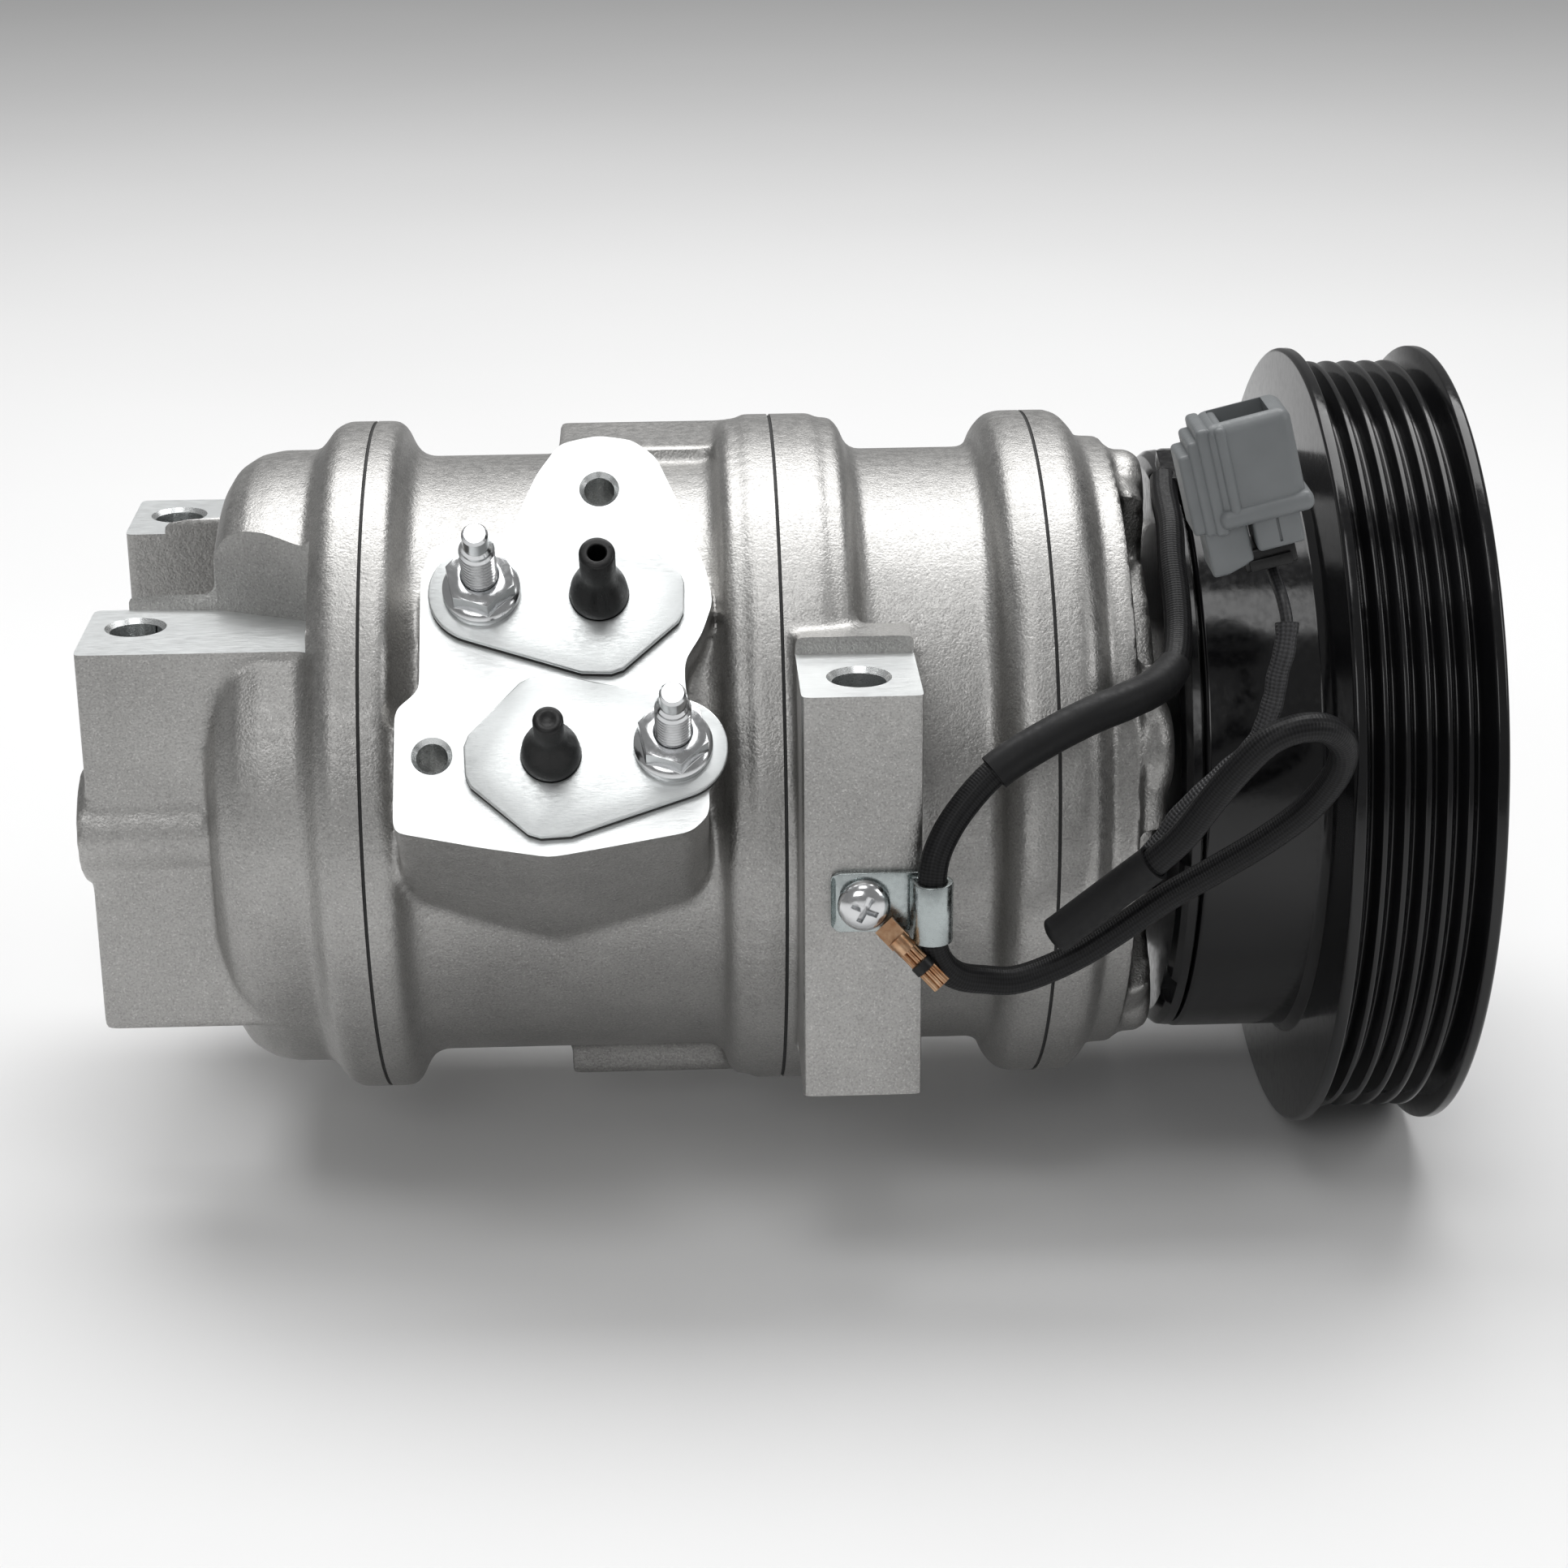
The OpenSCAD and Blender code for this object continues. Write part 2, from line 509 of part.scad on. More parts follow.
function stretch(p, a, b) = [for (i = [a : b]) p[i]];
clamp_cord = [-83.5, -77.6];
lead_route = [[-38, -16, 54], [-38.5, -21, 52], [-38.5, -28, 49], [-39, -34.5, 44.5], [-39, -41, 39.5],
  [-39.5, -47, 35], [-41, -53, 32], [-45, -59, 30.5], [-50.5, -64.5, 30], [-57.5, -68, 28.5],
  [-65.5, -70, 25], [-73, -71.5, 20.5], [-79, -74, 14.5], [-82.5, -76.5, 9], [-83.5, -77.6, 4],
  [-83.5, -77.6, -1], [-83.5, -77.6, -6], [-82, -77, -10.5], [-79, -76, -13.5], [-74.5, -74.5, -15],
  [-69.5, -74, -15.5], [-64, -73.5, -14], [-58, -73.5, -11], [-52, -73.5, -7], [-44, -74, -1],
  [-36.5, -75, 4], [-29, -76.5, 9.5], [-22.5, -78, 15.5], [-18.5, -80.5, 22.5], [-18.5, -84, 28.5],
  [-22, -87, 32.5], [-27, -88.5, 33], [-31.5, -88.5, 31], [-35.5, -87.5, 26.5], [-39.5, -86, 20.5],
  [-43.5, -84.5, 14], [-48, -82.5, 8.5], [-53, -80.5, 3.5], [-58, -79.5, -1], [-62, -79, -4.5]];
splice_route = concat([for (i = [36 : 39]) lead_route[i]], [[-64, -79, -6]]);
wire_route = [[-54.5, -77, 1], [-51.5, -76, 3.5], [-48.5, -76, 6.5], [-45.5, -76, 10], [-43, -76, 14],
  [-39.5, -76.5, 18], [-35.5, -76.5, 22], [-32.5, -77, 25], [-30.5, -77, 28], [-29.5, -77, 31],
  [-28.5, -76.5, 34.5], [-28, -76, 38], [-27, -75.5, 42], [-26.5, -74, 46], [-27, -71.5, 49.5],
  [-27.5, -68, 51.5], [-28, -65.5, 53.5], [-29, -65, 57.5]];
module lead_wire() color(rubber) tube(lead_route, lead_d / 2);
module lead_sleeve() color(rubber) tube(stretch(lead_route, 6, 11), sleeve_d / 2, 12);
module splice_sleeve() color(rubber) tube(splice_route, sleeve_d / 2, 12);
module connector_wire() color(rubber) tube(wire_route, thin_d / 2, 8);
module wire_sleeve() color(rubber) tube(stretch(wire_route, 0, 13), braid_d / 2, 8);

module cable_clamp() color(zinc) difference() {
  union() {
    translate([screw_at.x - 5.4, boss_front - 1.22, screw_at.y - 5.2]) cube([16.4, 1.2, 10.4]);
    translate([clamp_cord.x, clamp_cord.y, screw_at.y - 5.9]) cylinder(r = 3.6, h = 10.6, $fn = 40);
  }
  translate([clamp_cord.x, clamp_cord.y, screw_at.y - 7]) cylinder(r = 2.5, h = 13, $fn = 40);
  translate([screw_at.x, boss_front - 3, screw_at.y]) rotate([-90, 0, 0]) cylinder(r = 2.2, h = 6, $fn = 32);
}
module clamp_screw() color(zinc) translate([screw_at.x, boss_front, screw_at.y]) rotate([90, 0, 0])
difference() {
  union() {
    translate([0, 0, -4]) cylinder(r = 2, h = 6, $fn = 32);
    translate([0, 0, 1.98]) cylinder(r1 = 4.3, r2 = 4, h = 1.6, $fn = 48);
    translate([0, 0, 3.58]) cylinder(r1 = 4, r2 = 2.8, h = 1, $fn = 48);
  }
  for (a = [30, 120]) rotate([0, 0, a]) translate([-2, -0.5, 3.2]) cube([4, 1, 2]);
}
module ground_terminal() color(copper) translate([screw_at.x, boss_front - 1.96, screw_at.y]) difference() {
  union() {
    rotate([-90, 0, 0]) cylinder(r = 3.9, h = 0.7, $fn = 40);
    rotate([0, 45, 0]) translate([0, 0, -1.6]) cube([8.5, 0.7, 3.2]);
    rotate([0, 45, 0]) translate([8, 0.2, 0]) rotate([0, 90, 0]) cylinder(r = 1.3, h = 8.4, $fn = 24);
  }
  translate([0, -1, 0]) rotate([-90, 0, 0]) cylinder(r = 2.2, h = 3, $fn = 32);
}

// the connector stands beside the drum; X across it, Y its depth, Z up its length
module connector_frame() translate([-29, -65, 57]) rotate([0, -14, 0]) children();
module connector_housing() color(grey_plastic) connector_frame() {
  difference() {
    union() {
      translate([-6.6, -6, 5.5]) cube([14.2, 12, 17]);
      translate([-11.4, -4.5, 5]) cube([5, 9, 14.5]);
      translate([-6.6, -5, 0.3]) cube([12.5, 10, 5.4]);
    }
    translate([-4.5, -4, 14]) cube([9, 8, 9]);
    for (z = [7.5 : 3 : 17]) translate([-12, -5, z]) cube([1.2, 10, 1]);
  }
}
module connector_clip() color(rubber) connector_frame() translate([-4.5, -4, -3.4]) difference() {
  cube([9, 8, 3.4]);
  translate([4.7, 4, -1]) cylinder(r = 2.2, h = 6, $fn = 32);
}

rear_cover();
front_cover();
rear_cylinder_block();
front_cylinder_block();
gaskets();
valve_plates();
suction_reeds();
discharge_reeds();
through_bolts();
port_cap_upper();
port_cap_lower();
port_plug_upper();
port_plug_lower();
port_studs();
port_nuts();
coil_shell();
coil_winding();
snap_rings();
bearing_inner_race();
shaft_seal();
shaft_bearings();
thrust_bearings();
cable_clamp();
clamp_screw();
ground_terminal();
lead_wire();
lead_sleeve();
splice_sleeve();
connector_wire();
wire_sleeve();
connector_housing();
connector_clip();
pulley_rotor();
bearing_outer_race();
bearing_balls();
bearing_seals();
drive_shaft();
swash_hub();
clutch_hub();
clutch_bolt();
swash_plate();
armature_plate();
leaf_springs();
piston_1();
piston_2();
piston_3();
piston_4();
piston_5();
shoe_front_1();
shoe_front_2();
shoe_front_3();
shoe_front_4();
shoe_front_5();
shoe_rear_1();
shoe_rear_2();
shoe_rear_3();
shoe_rear_4();
shoe_rear_5();
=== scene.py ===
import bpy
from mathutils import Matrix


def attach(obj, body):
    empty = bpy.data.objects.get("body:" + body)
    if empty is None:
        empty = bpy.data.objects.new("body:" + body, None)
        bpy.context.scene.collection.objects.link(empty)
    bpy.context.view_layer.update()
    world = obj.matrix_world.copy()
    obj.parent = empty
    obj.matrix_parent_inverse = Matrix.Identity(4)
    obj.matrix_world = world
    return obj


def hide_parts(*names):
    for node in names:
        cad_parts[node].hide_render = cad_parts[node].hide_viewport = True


bl_info = {
    "name": "Compressor with pulley clutch",
    "version": (1, 0, 0),
    "blender": (4, 5, 0),
    "location": "View3D > Sidebar > Compressor",
    "description": "Builds the castings, clutch, port fittings and wiring of a swash-plate compressor",
    "category": "Object",
}

import math

import bpy
import bmesh
from mathutils import Matrix, Vector

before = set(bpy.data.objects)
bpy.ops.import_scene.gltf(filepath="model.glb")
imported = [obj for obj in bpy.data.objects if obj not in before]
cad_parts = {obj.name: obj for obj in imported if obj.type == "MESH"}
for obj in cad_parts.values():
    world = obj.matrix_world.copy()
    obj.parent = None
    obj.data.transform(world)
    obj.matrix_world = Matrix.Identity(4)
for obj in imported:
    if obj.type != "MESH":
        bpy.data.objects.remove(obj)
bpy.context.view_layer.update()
MM = 0.001
DIAG = math.sqrt(0.5)
COVER_TOP = 35.0  # height of the milled boss tops
PORT_N = 62.0  # distance of the port face from the shaft
REAR_HOLES = ((-217, -30), (-218.5, 40))
CENTRE_HOLE = (-94.6, -64)
CLAMP_SCREW = (-94.5, -0.4)
BOLT_HOLE_R = 4.5
BOLT_CIRCLE, BORE_CIRCLE = 46.5, 34.5
BORE_R = 14.5
CONNECTOR_AT = (-29, -65, 57)
CONNECTOR_LEAN = -14


# ---------------------------------------------------------------- settings
class CastingSettings(bpy.types.PropertyGroup):
    grain: bpy.props.FloatProperty(
        name="Grain", description="Depth of the cast surface grain", default=0.00007, unit="LENGTH"
    )
    voxel: bpy.props.FloatProperty(
        name="Blend size", description="Size of the cells the castings are blended with",
        default=0.0008, unit="LENGTH"
    )
    colour: bpy.props.FloatVectorProperty(
        name="Cast colour", description="Colour of the cast aluminium", default=(0.41, 0.405, 0.395),
        size=3, subtype="COLOR"
    )
    machined: bpy.props.FloatVectorProperty(
        name="Machined colour", description="Colour of the milled faces", default=(0.84, 0.86, 0.86),
        size=3, subtype="COLOR"
    )


class ClutchSettings(bpy.types.PropertyGroup):
    enamel: bpy.props.FloatVectorProperty(
        name="Enamel", description="Colour of the black enamel", default=(0.0045, 0.0045, 0.005),
        size=3, subtype="COLOR"
    )
    edge: bpy.props.FloatProperty(
        name="Edge radius", description="Rounding of the pulley's edges", default=0.00028, unit="LENGTH"
    )


class WiringSettings(bpy.types.PropertyGroup):
    lead_d: bpy.props.FloatProperty(
        name="Lead", description="Outside diameter of the lead", default=0.0048, unit="LENGTH"
    )
    thin_d: bpy.props.FloatProperty(
        name="Thin wire", description="Outside diameter of the wire into the connector", default=0.002,
        unit="LENGTH"
    )
    jacket: bpy.props.FloatVectorProperty(
        name="Jacket", description="Colour of the wire jackets", default=(0.006, 0.006, 0.0065), size=3,
        subtype="COLOR"
    )
    shell: bpy.props.FloatVectorProperty(
        name="Connector", description="Colour of the connector", default=(0.155, 0.165, 0.17), size=3,
        subtype="COLOR"
    )


# ---------------------------------------------------------------- workshop tools
def pick(*objs):
    bpy.ops.object.select_all(action="DESELECT")
    for o in objs:
        o.select_set(True)
    bpy.context.view_layer.objects.active = objs[-1]


def edit_all(obj):
    pick(obj)
    bpy.ops.object.mode_set(mode="EDIT")
    bpy.ops.mesh.select_all(action="SELECT")


def leave():
    bpy.ops.object.mode_set(mode="OBJECT")


def settle(obj):
    pick(obj)
    bpy.ops.object.transform_apply(location=True, rotation=True, scale=True)
    return obj


def rod(radius, start, end, at=(0, 0), axis="X", vertices=64):
    """A cylinder along an axis from start to end, in mm, at the other two coordinates."""
    mid, depth = (start + end) / 2, end - start
    place = {"X": (mid, at[0], at[1]), "Y": (at[0], mid, at[1]), "Z": (at[0], at[1], mid)}[axis]
    turn = {"X": (0, math.pi / 2, 0), "Y": (math.pi / 2, 0, 0), "Z": (0, 0, 0)}[axis]
    bpy.ops.mesh.primitive_cylinder_add(
        vertices=vertices, radius=radius * MM, depth=depth * MM, location=[c * MM for c in place],
        rotation=turn
    )
    return settle(bpy.context.active_object)


def cone(r0, r1, start, end, at=(0, 0), axis="X", vertices=64):
    mid, depth = (start + end) / 2, end - start
    place = {"X": (mid, at[0], at[1]), "Y": (at[0], mid, at[1]), "Z": (at[0], at[1], mid)}[axis]
    turn = {"X": (0, math.pi / 2, 0), "Y": (-math.pi / 2, 0, 0), "Z": (0, 0, 0)}[axis]
    bpy.ops.mesh.primitive_cone_add(
        vertices=vertices, radius1=r0 * MM, radius2=r1 * MM, depth=depth * MM,
        location=[c * MM for c in place], rotation=turn
    )
    return settle(bpy.context.active_object)


def block(low, high):
    size = [(b - a) * MM for a, b in zip(low, high)]
    mid = [(a + b) / 2 * MM for a, b in zip(low, high)]
    bpy.ops.mesh.primitive_cube_add(size=1, location=mid, scale=size)
    return settle(bpy.context.active_object)


def profile_face(points):
    """A flat face with these corners, made from a circle whose points are moved to them."""
    bpy.ops.mesh.primitive_circle_add(vertices=len(points), radius=0.01, fill_type="NGON")
    obj = bpy.context.active_object
    for v, p in zip(obj.data.vertices, points):
        v.co = Vector(p) * MM
    return obj


def prism(points, rise):
    """Corners in 3-D, extruded by the vector rise."""
    obj = profile_face(points)
    edit_all(obj)
    bpy.ops.mesh.extrude_region_move(TRANSFORM_OT_translate={"value": [c * MM for c in rise]})
    bpy.ops.mesh.select_all(action="SELECT")
    bpy.ops.mesh.normals_make_consistent(inside=False)
    leave()
    return obj


def lathe(points, steps=192, axis=(1, 0, 0), up=(0, 0, 1), centre=(0, 0, 0)):
    """A closed outline of (radius, along) points in mm spun about an axis through centre."""
    axis, up, centre = Vector(axis), Vector(up), Vector(centre)
    bpy.ops.mesh.primitive_circle_add(vertices=len(points), radius=0.01)
    obj = bpy.context.active_object
    for v, (r, a) in zip(obj.data.vertices, points):
        v.co = (centre + axis * a + up * r) * MM
    edit_all(obj)
    bpy.ops.mesh.spin(steps=steps, angle=math.tau, center=centre * MM, axis=axis)
    bpy.ops.mesh.select_all(action="SELECT")
    bpy.ops.mesh.remove_doubles(threshold=0.000002)
    bpy.ops.mesh.normals_make_consistent(inside=False)
    leave()
    return obj


def on_port(x, t, n):
    """A point of the port face's frame: along the shaft, up the face and out of it."""
    return Vector((x, (t - n) * DIAG, (t + n) * DIAG))


PORT_OUT = (0, -DIAG, DIAG)
PORT_UP = (0, DIAG, DIAG)


def port_lathe(x, t, points, steps=64):
    return lathe(points, steps, PORT_OUT, PORT_UP, on_port(x, t, 0))


def modify(obj, kind, **values):
    pick(obj)
    m = obj.modifiers.new(kind.title(), kind)
    for k, v in values.items():
        setattr(m, k, v)
    bpy.ops.object.modifier_apply(modifier=m.name)
    return obj


def weld(*objs):
    pick(*objs)
    bpy.ops.object.join()
    return bpy.context.active_object


def carve(obj, *cutters, way="DIFFERENCE"):
    for c in cutters:
        modify(obj, "BOOLEAN", operation=way, solver="EXACT", object=c)
        bpy.data.objects.remove(c, do_unlink=True)
    return obj


def slice_off(obj, at, out):
    """Cuts away what lies beyond a plane and closes the cut flat."""
    edit_all(obj)
    bpy.ops.mesh.bisect(plane_co=Vector(at) * MM, plane_no=out, clear_outer=True, use_fill=True)
    leave()
    return obj


def blend_casting(obj, cell, rounds):
    """Melts joined shapes into one skin and rounds its corners as a mould does."""
    modify(obj, "REMESH", mode="VOXEL", voxel_size=cell)
    modify(obj, "SMOOTH", factor=0.5, iterations=rounds)
    return obj


def soften(obj, radius, segments=3, angle=30):
    return modify(
        obj, "BEVEL", width=radius * MM, segments=segments, limit_method="ANGLE",
        angle_limit=math.radians(angle),
        harden_normals=False,
    )


def hand_over(obj, name, body, materials, nodes=(), smooth=35):
    obj.name = name
    obj.data.name = name
    if smooth:
        pick(obj)
        bpy.ops.object.shade_smooth_by_angle(angle=math.radians(smooth))
    wanted = [materials] if isinstance(materials, bpy.types.Material) else list(materials)
    while len(obj.data.materials) < len(wanted):
        obj.data.materials.append(None)
    for i, m in enumerate(wanted):
        obj.data.materials[i] = m
    if nodes:
        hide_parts(*nodes)
    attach(obj, body)
    return obj


def mark_faces(obj, index, test):
    """Gives the faces that pass the test a material slot of their own."""
    while len(obj.data.materials) <= index:
        obj.data.materials.append(None)
    for p in obj.data.polygons:
        if test(p.center / MM, p.normal):
            p.material_index = index


# ---------------------------------------------------------------- finishes
class Finish:
    """A material whose nodes are added one at a time."""

    def __init__(self, name, colour, metallic=0.0, roughness=0.5, **sockets):
        self.m = bpy.data.materials.new(name)
        self.m.use_nodes = True
        self.t = self.m.node_tree
        self.shader = self.t.nodes["Principled BSDF"]
        self.set("Base Color", (*colour, 1))
        self.set("Metallic", metallic)
        self.set("Roughness", roughness)
        for k, v in sockets.items():
            self.set(k.replace("_", " "), v)
        self.m.diffuse_color = (*colour, 1)
        self.coords = self.t.nodes.new("ShaderNodeTexCoord")
        self.where = self.coords.outputs["Object"]

    def set(self, socket, value):
        self.shader.inputs[socket].default_value = value

    def node(self, kind, **inputs):
        n = self.t.nodes.new(kind)
        for k, v in inputs.items():
            self.plug(n, k, v)
        return n

    def plug(self, n, k, v):
        s = n.inputs[k]
        if isinstance(v, bpy.types.NodeSocket):
            self.t.links.new(v, s)
        else:
            s.default_value = v

    def noise(self, size_mm, detail=3.0, rough=0.55, stretch=None, distortion=0.0):
        place = self.where
        if stretch:
            mapping = self.node("ShaderNodeMapping", Vector=self.where, Scale=stretch)
            place = mapping.outputs["Vector"]
        n = self.node("ShaderNodeTexNoise", Vector=place, Scale=1000.0 / size_mm, Detail=detail,
                      Roughness=rough, Distortion=distortion)
        return n.outputs["Fac"]

    def ramp(self, fac, *stops):
        n = self.node("ShaderNodeValToRGB", Fac=fac)
        r = n.color_ramp
        while len(r.elements) < len(stops):
            r.elements.new(0.5)
        for e, (at, c) in zip(r.elements, stops):
            e.position = at
            e.color = (*c, 1) if not isinstance(c, (int, float)) else (c, c, c, 1)
        return n.outputs["Color"]

    def mix(self, fac, a, b, kind="MIX"):
        n = self.t.nodes.new("ShaderNodeMix")
        n.data_type = "RGBA"
        n.blend_type = kind
        for i, v in ((0, fac), (6, a), (7, b)):
            if isinstance(v, bpy.types.NodeSocket):
                self.t.links.new(v, n.inputs[i])
            else:
                n.inputs[i].default_value = v if i == 0 else (*v, 1)
        return n.outputs[2]

    def sum(self, a, b, kind="ADD"):
        n = self.t.nodes.new("ShaderNodeMath")
        n.operation = kind
        for i, v in ((0, a), (1, b)):
            if isinstance(v, bpy.types.NodeSocket):
                self.t.links.new(v, n.inputs[i])
            else:
                n.inputs[i].default_value = v
        return n.outputs[0]

    def colour(self, socket):
        self.t.links.new(socket, self.shader.inputs["Base Color"])

    def roughness(self, socket):
        self.t.links.new(socket, self.shader.inputs["Roughness"])

    def relief(self, height, depth, strength=1.0, edge=None):
        b = self.node("ShaderNodeBump", Height=height, Distance=depth, Strength=strength)
        if edge:
            e = self.t.nodes.new("ShaderNodeBevel")
            e.samples = 4
            e.inputs["Radius"].default_value = edge * MM
            self.t.links.new(e.outputs["Normal"], b.inputs["Normal"])
        self.t.links.new(b.outputs["Normal"], self.shader.inputs["Normal"])


def tint(c, k):
    return tuple(min(1.0, x * k) for x in c)


def cast_finish(name, colour, grain):
    f = Finish(name, colour, metallic=1.0, roughness=0.46)
    fine, mid, wide = f.noise(0.42, 1.0, 0.5), f.noise(1.5, 3.0, 0.6), f.noise(24.0, 4.0, 0.6)
    base = f.ramp(wide, (0.30, tint(colour, 0.88)), (0.70, tint(colour, 1.12)))
    speck = f.ramp(fine, (0.30, 0.74), (0.50, 0.95), (0.62, 1.0))
    # painted highlight: specks of brighter colour stand for glints of light catching the cast grain
    painted_glints = f.ramp(f.noise(0.34, 0.0, 0.5), (0.66, 0.0), (0.76, 1.0))
    body = f.mix(0.8, base, speck, "MULTIPLY")
    f.colour(f.mix(f.sum(painted_glints, 0.35, "MULTIPLY"), body, tint(colour, 1.7)))
    f.roughness(f.ramp(mid, (0.30, 0.38), (0.70, 0.50)))
    f.relief(f.sum(fine, f.sum(mid, 1.4, "MULTIPLY")), grain)
    return f.m


def milled_finish(name, colour, along=(1, 18, 18), roughness=0.34, edge=0.25):
    f = Finish(name, colour, metallic=1.0, roughness=roughness)
    lines = f.noise(2.4, 3.0, 0.6, stretch=along)
    wide = f.noise(14.0, 3.0, 0.5)
    f.colour(f.mix(0.5, f.ramp(lines, (0.3, tint(colour, 0.90)), (0.7, tint(colour, 1.06))),
                   f.ramp(wide, (0.3, tint(colour, 0.95)), (0.7, tint(colour, 1.04)))))
    f.roughness(f.ramp(lines, (0.3, roughness - 0.06), (0.7, roughness + 0.08)))
    f.relief(lines, 0.00002, 0.7, edge)
    return f.m


def plated_finish(name, colour, roughness=0.2, edge=0.2):
    f = Finish(name, colour, metallic=1.0, roughness=roughness)
    wide, fine = f.noise(6.0, 3.0, 0.6), f.noise(0.8, 2.0, 0.5)
    f.colour(f.ramp(wide, (0.25, tint(colour, 0.86)), (0.75, tint(colour, 1.05))))
    f.roughness(f.ramp(fine, (0.3, roughness * 0.75), (0.7, roughness * 1.4)))
    f.relief(f.sum(fine, wide), 0.00002, 0.6, edge)
    return f.m


def enamel_finish(name, colour, edge=None):
    f = Finish(name, colour, roughness=0.13, Specular_IOR_Level=0.42)
    wide, fine = f.noise(16.0, 2.0, 0.5), f.noise(1.4, 2.0, 0.5)
    f.colour(f.ramp(wide, (0.3, tint(colour, 0.8)), (0.7, tint(colour, 1.4))))
    f.roughness(f.ramp(fine, (0.3, 0.09), (0.7, 0.2)))
    f.relief(f.sum(fine, f.sum(wide, 2.0, "MULTIPLY")), 0.000018, 0.5, edge)
    return f.m


def moulded_finish(name, colour, roughness=0.5, grain_mm=0.35, depth=0.00002, edge=0.2, specular=0.5):
    f = Finish(name, colour, roughness=roughness, Specular_IOR_Level=specular)
    fine, wide = f.noise(grain_mm, 2.0, 0.6), f.noise(9.0, 3.0, 0.5)
    f.colour(f.ramp(wide, (0.3, tint(colour, 0.92)), (0.7, tint(colour, 1.08))))
    f.roughness(f.ramp(fine, (0.3, roughness - 0.07), (0.7, roughness + 0.1)))
    f.relief(fine, depth, 0.8, edge)
    return f.m


def braid_finish(name, colour, strands, pitch_mm, depth, roughness, shine=0.5):
    """Two sets of crossing strands that run round a tube whose map holds (length, turn)."""
    f = Finish(name, colour, roughness=roughness, Specular_IOR_Level=shine)
    uv = f.node("ShaderNodeUVMap")
    uv.uv_map = "along"
    parts = f.node("ShaderNodeSeparateXYZ", Vector=uv.outputs["UV"])
    along = f.sum(parts.outputs["X"], math.tau * 1000.0 / pitch_mm, "MULTIPLY")
    turn = f.sum(parts.outputs["Y"], math.tau * strands, "MULTIPLY")
    one = f.sum(f.sum(along, turn), 0.0, "SINE")
    two = f.sum(f.sum(along, turn, "SUBTRACT"), 0.0, "SINE")
    height = f.sum(f.sum(one, two, "MULTIPLY"), 0.5, "MULTIPLY")
    height = f.sum(height, 0.5)
    # painted shade and highlight: the colour is darker where the strands dip and lighter on their crests,
    # following the weave height
    f.colour(f.ramp(height, (0.15, tint(colour, 0.5)), (0.85, tint(colour, 1.9))))
    f.roughness(f.ramp(f.noise(0.7), (0.3, roughness - 0.08), (0.7, roughness + 0.1)))
    f.relief(height, depth, 0.9)
    return f.m


FINISHES = {}


def make_finishes():
    s = bpy.context.scene
    cast, clutch, wiring = s.compressor_castings, s.compressor_clutch, s.compressor_wiring
    F = FINISHES
    F["cast"] = cast_finish("cast_aluminium", cast.colour, cast.grain)
    F["milled"] = milled_finish("milled_aluminium", cast.machined, roughness=0.42, edge=None)
    F["bore"] = milled_finish("bored_aluminium", tint(cast.machined, 0.85), along=(8, 8, 30),
                              roughness=0.28, edge=None)
    F["enamel"] = enamel_finish("black_enamel", clutch.enamel)
    F["enamel_cad"] = enamel_finish("black_enamel_trim", clutch.enamel, 0.3)
    F["zinc"] = plated_finish("zinc_plate", (0.70, 0.71, 0.72), 0.16)
    F["clamp"] = plated_finish("clamp_zinc", (0.42, 0.46, 0.46), 0.24, None)
    F["thread"] = plated_finish("thread_zinc", (0.30, 0.30, 0.31), 0.3, None)
    F["cap"] = milled_finish("cap_plate", (0.64, 0.66, 0.66), along=(2, 9, 9), roughness=0.36)
    F["steel"] = milled_finish("ground_steel", (0.55, 0.56, 0.58), along=(6, 1, 1), roughness=0.3)
    F["dark_steel"] = milled_finish("phosphated_steel", (0.25, 0.25, 0.26), along=(2, 5, 5), roughness=0.45)
    F["piston"] = milled_finish("turned_aluminium", (0.72, 0.72, 0.71), along=(14, 1, 1), roughness=0.3)
    F["bronze"] = milled_finish("turned_bronze", (0.55, 0.42, 0.24), along=(9, 1, 1), roughness=0.35)
    F["copper"] = copper_finish()
    F["rubber"] = moulded_finish("black_rubber", (0.005, 0.005, 0.005), 0.34, 0.5, 0.00002, specular=0.35)
    F["gasket"] = moulded_finish("gasket_rubber", (0.02, 0.02, 0.02), 0.7, 0.4, 0.00003)
    F["jacket"] = braid_finish("wire_jacket", wiring.jacket, 10, 1.0, 0.00005, 0.42, 0.2)
    F["sleeve"] = moulded_finish("lead_sleeve_skin", tint(wiring.jacket, 1.2), 0.5, 1.2, 0.00004, None, 0.25)
    F["thin"] = braid_finish("thin_jacket", tint(wiring.jacket, 2.2), 6, 1.6, 0.00001, 0.4, 0.5)
    F["braid"] = braid_finish("braided_skin", tint(wiring.jacket, 3.2), 7, 1.3, 0.0002, 0.45, 0.45)
    F["shell"] = moulded_finish("connector_plastic", wiring.shell, 0.42, 0.6, 0.00001)


def copper_finish():
    f = Finish("copper_wire", (0.62, 0.30, 0.14), metallic=1.0, roughness=0.3)
    f.colour(f.ramp(f.noise(2.0), (0.3, (0.36, 0.17, 0.08)), (0.7, (0.62, 0.42, 0.27))))
    f.relief(f.noise(0.5), 0.00003, 0.7)
    return f.m


CAD_FINISH = {
    "steel": ["valve_plates", "suction_reeds", "discharge_reeds", "snap_rings", "bearing_inner_race",
              "bearing_outer_race",
              "bearing_balls", "shaft_bearings", "thrust_bearings", "drive_shaft", "leaf_springs",
              "armature_plate"],
    "dark_steel": ["through_bolts", "swash_hub", "clutch_hub"],
    "zinc": ["clutch_bolt"],
    "gasket": ["gaskets", "shaft_seal", "bearing_seals"],
    "enamel_cad": ["coil_shell"],
    "copper": ["coil_winding"],
    "bronze": ["swash_plate"] + [f"shoe_{s}_{i}" for s in ("front", "rear") for i in range(1, 6)],
    "piston": [f"piston_{i}" for i in range(1, 6)],
}


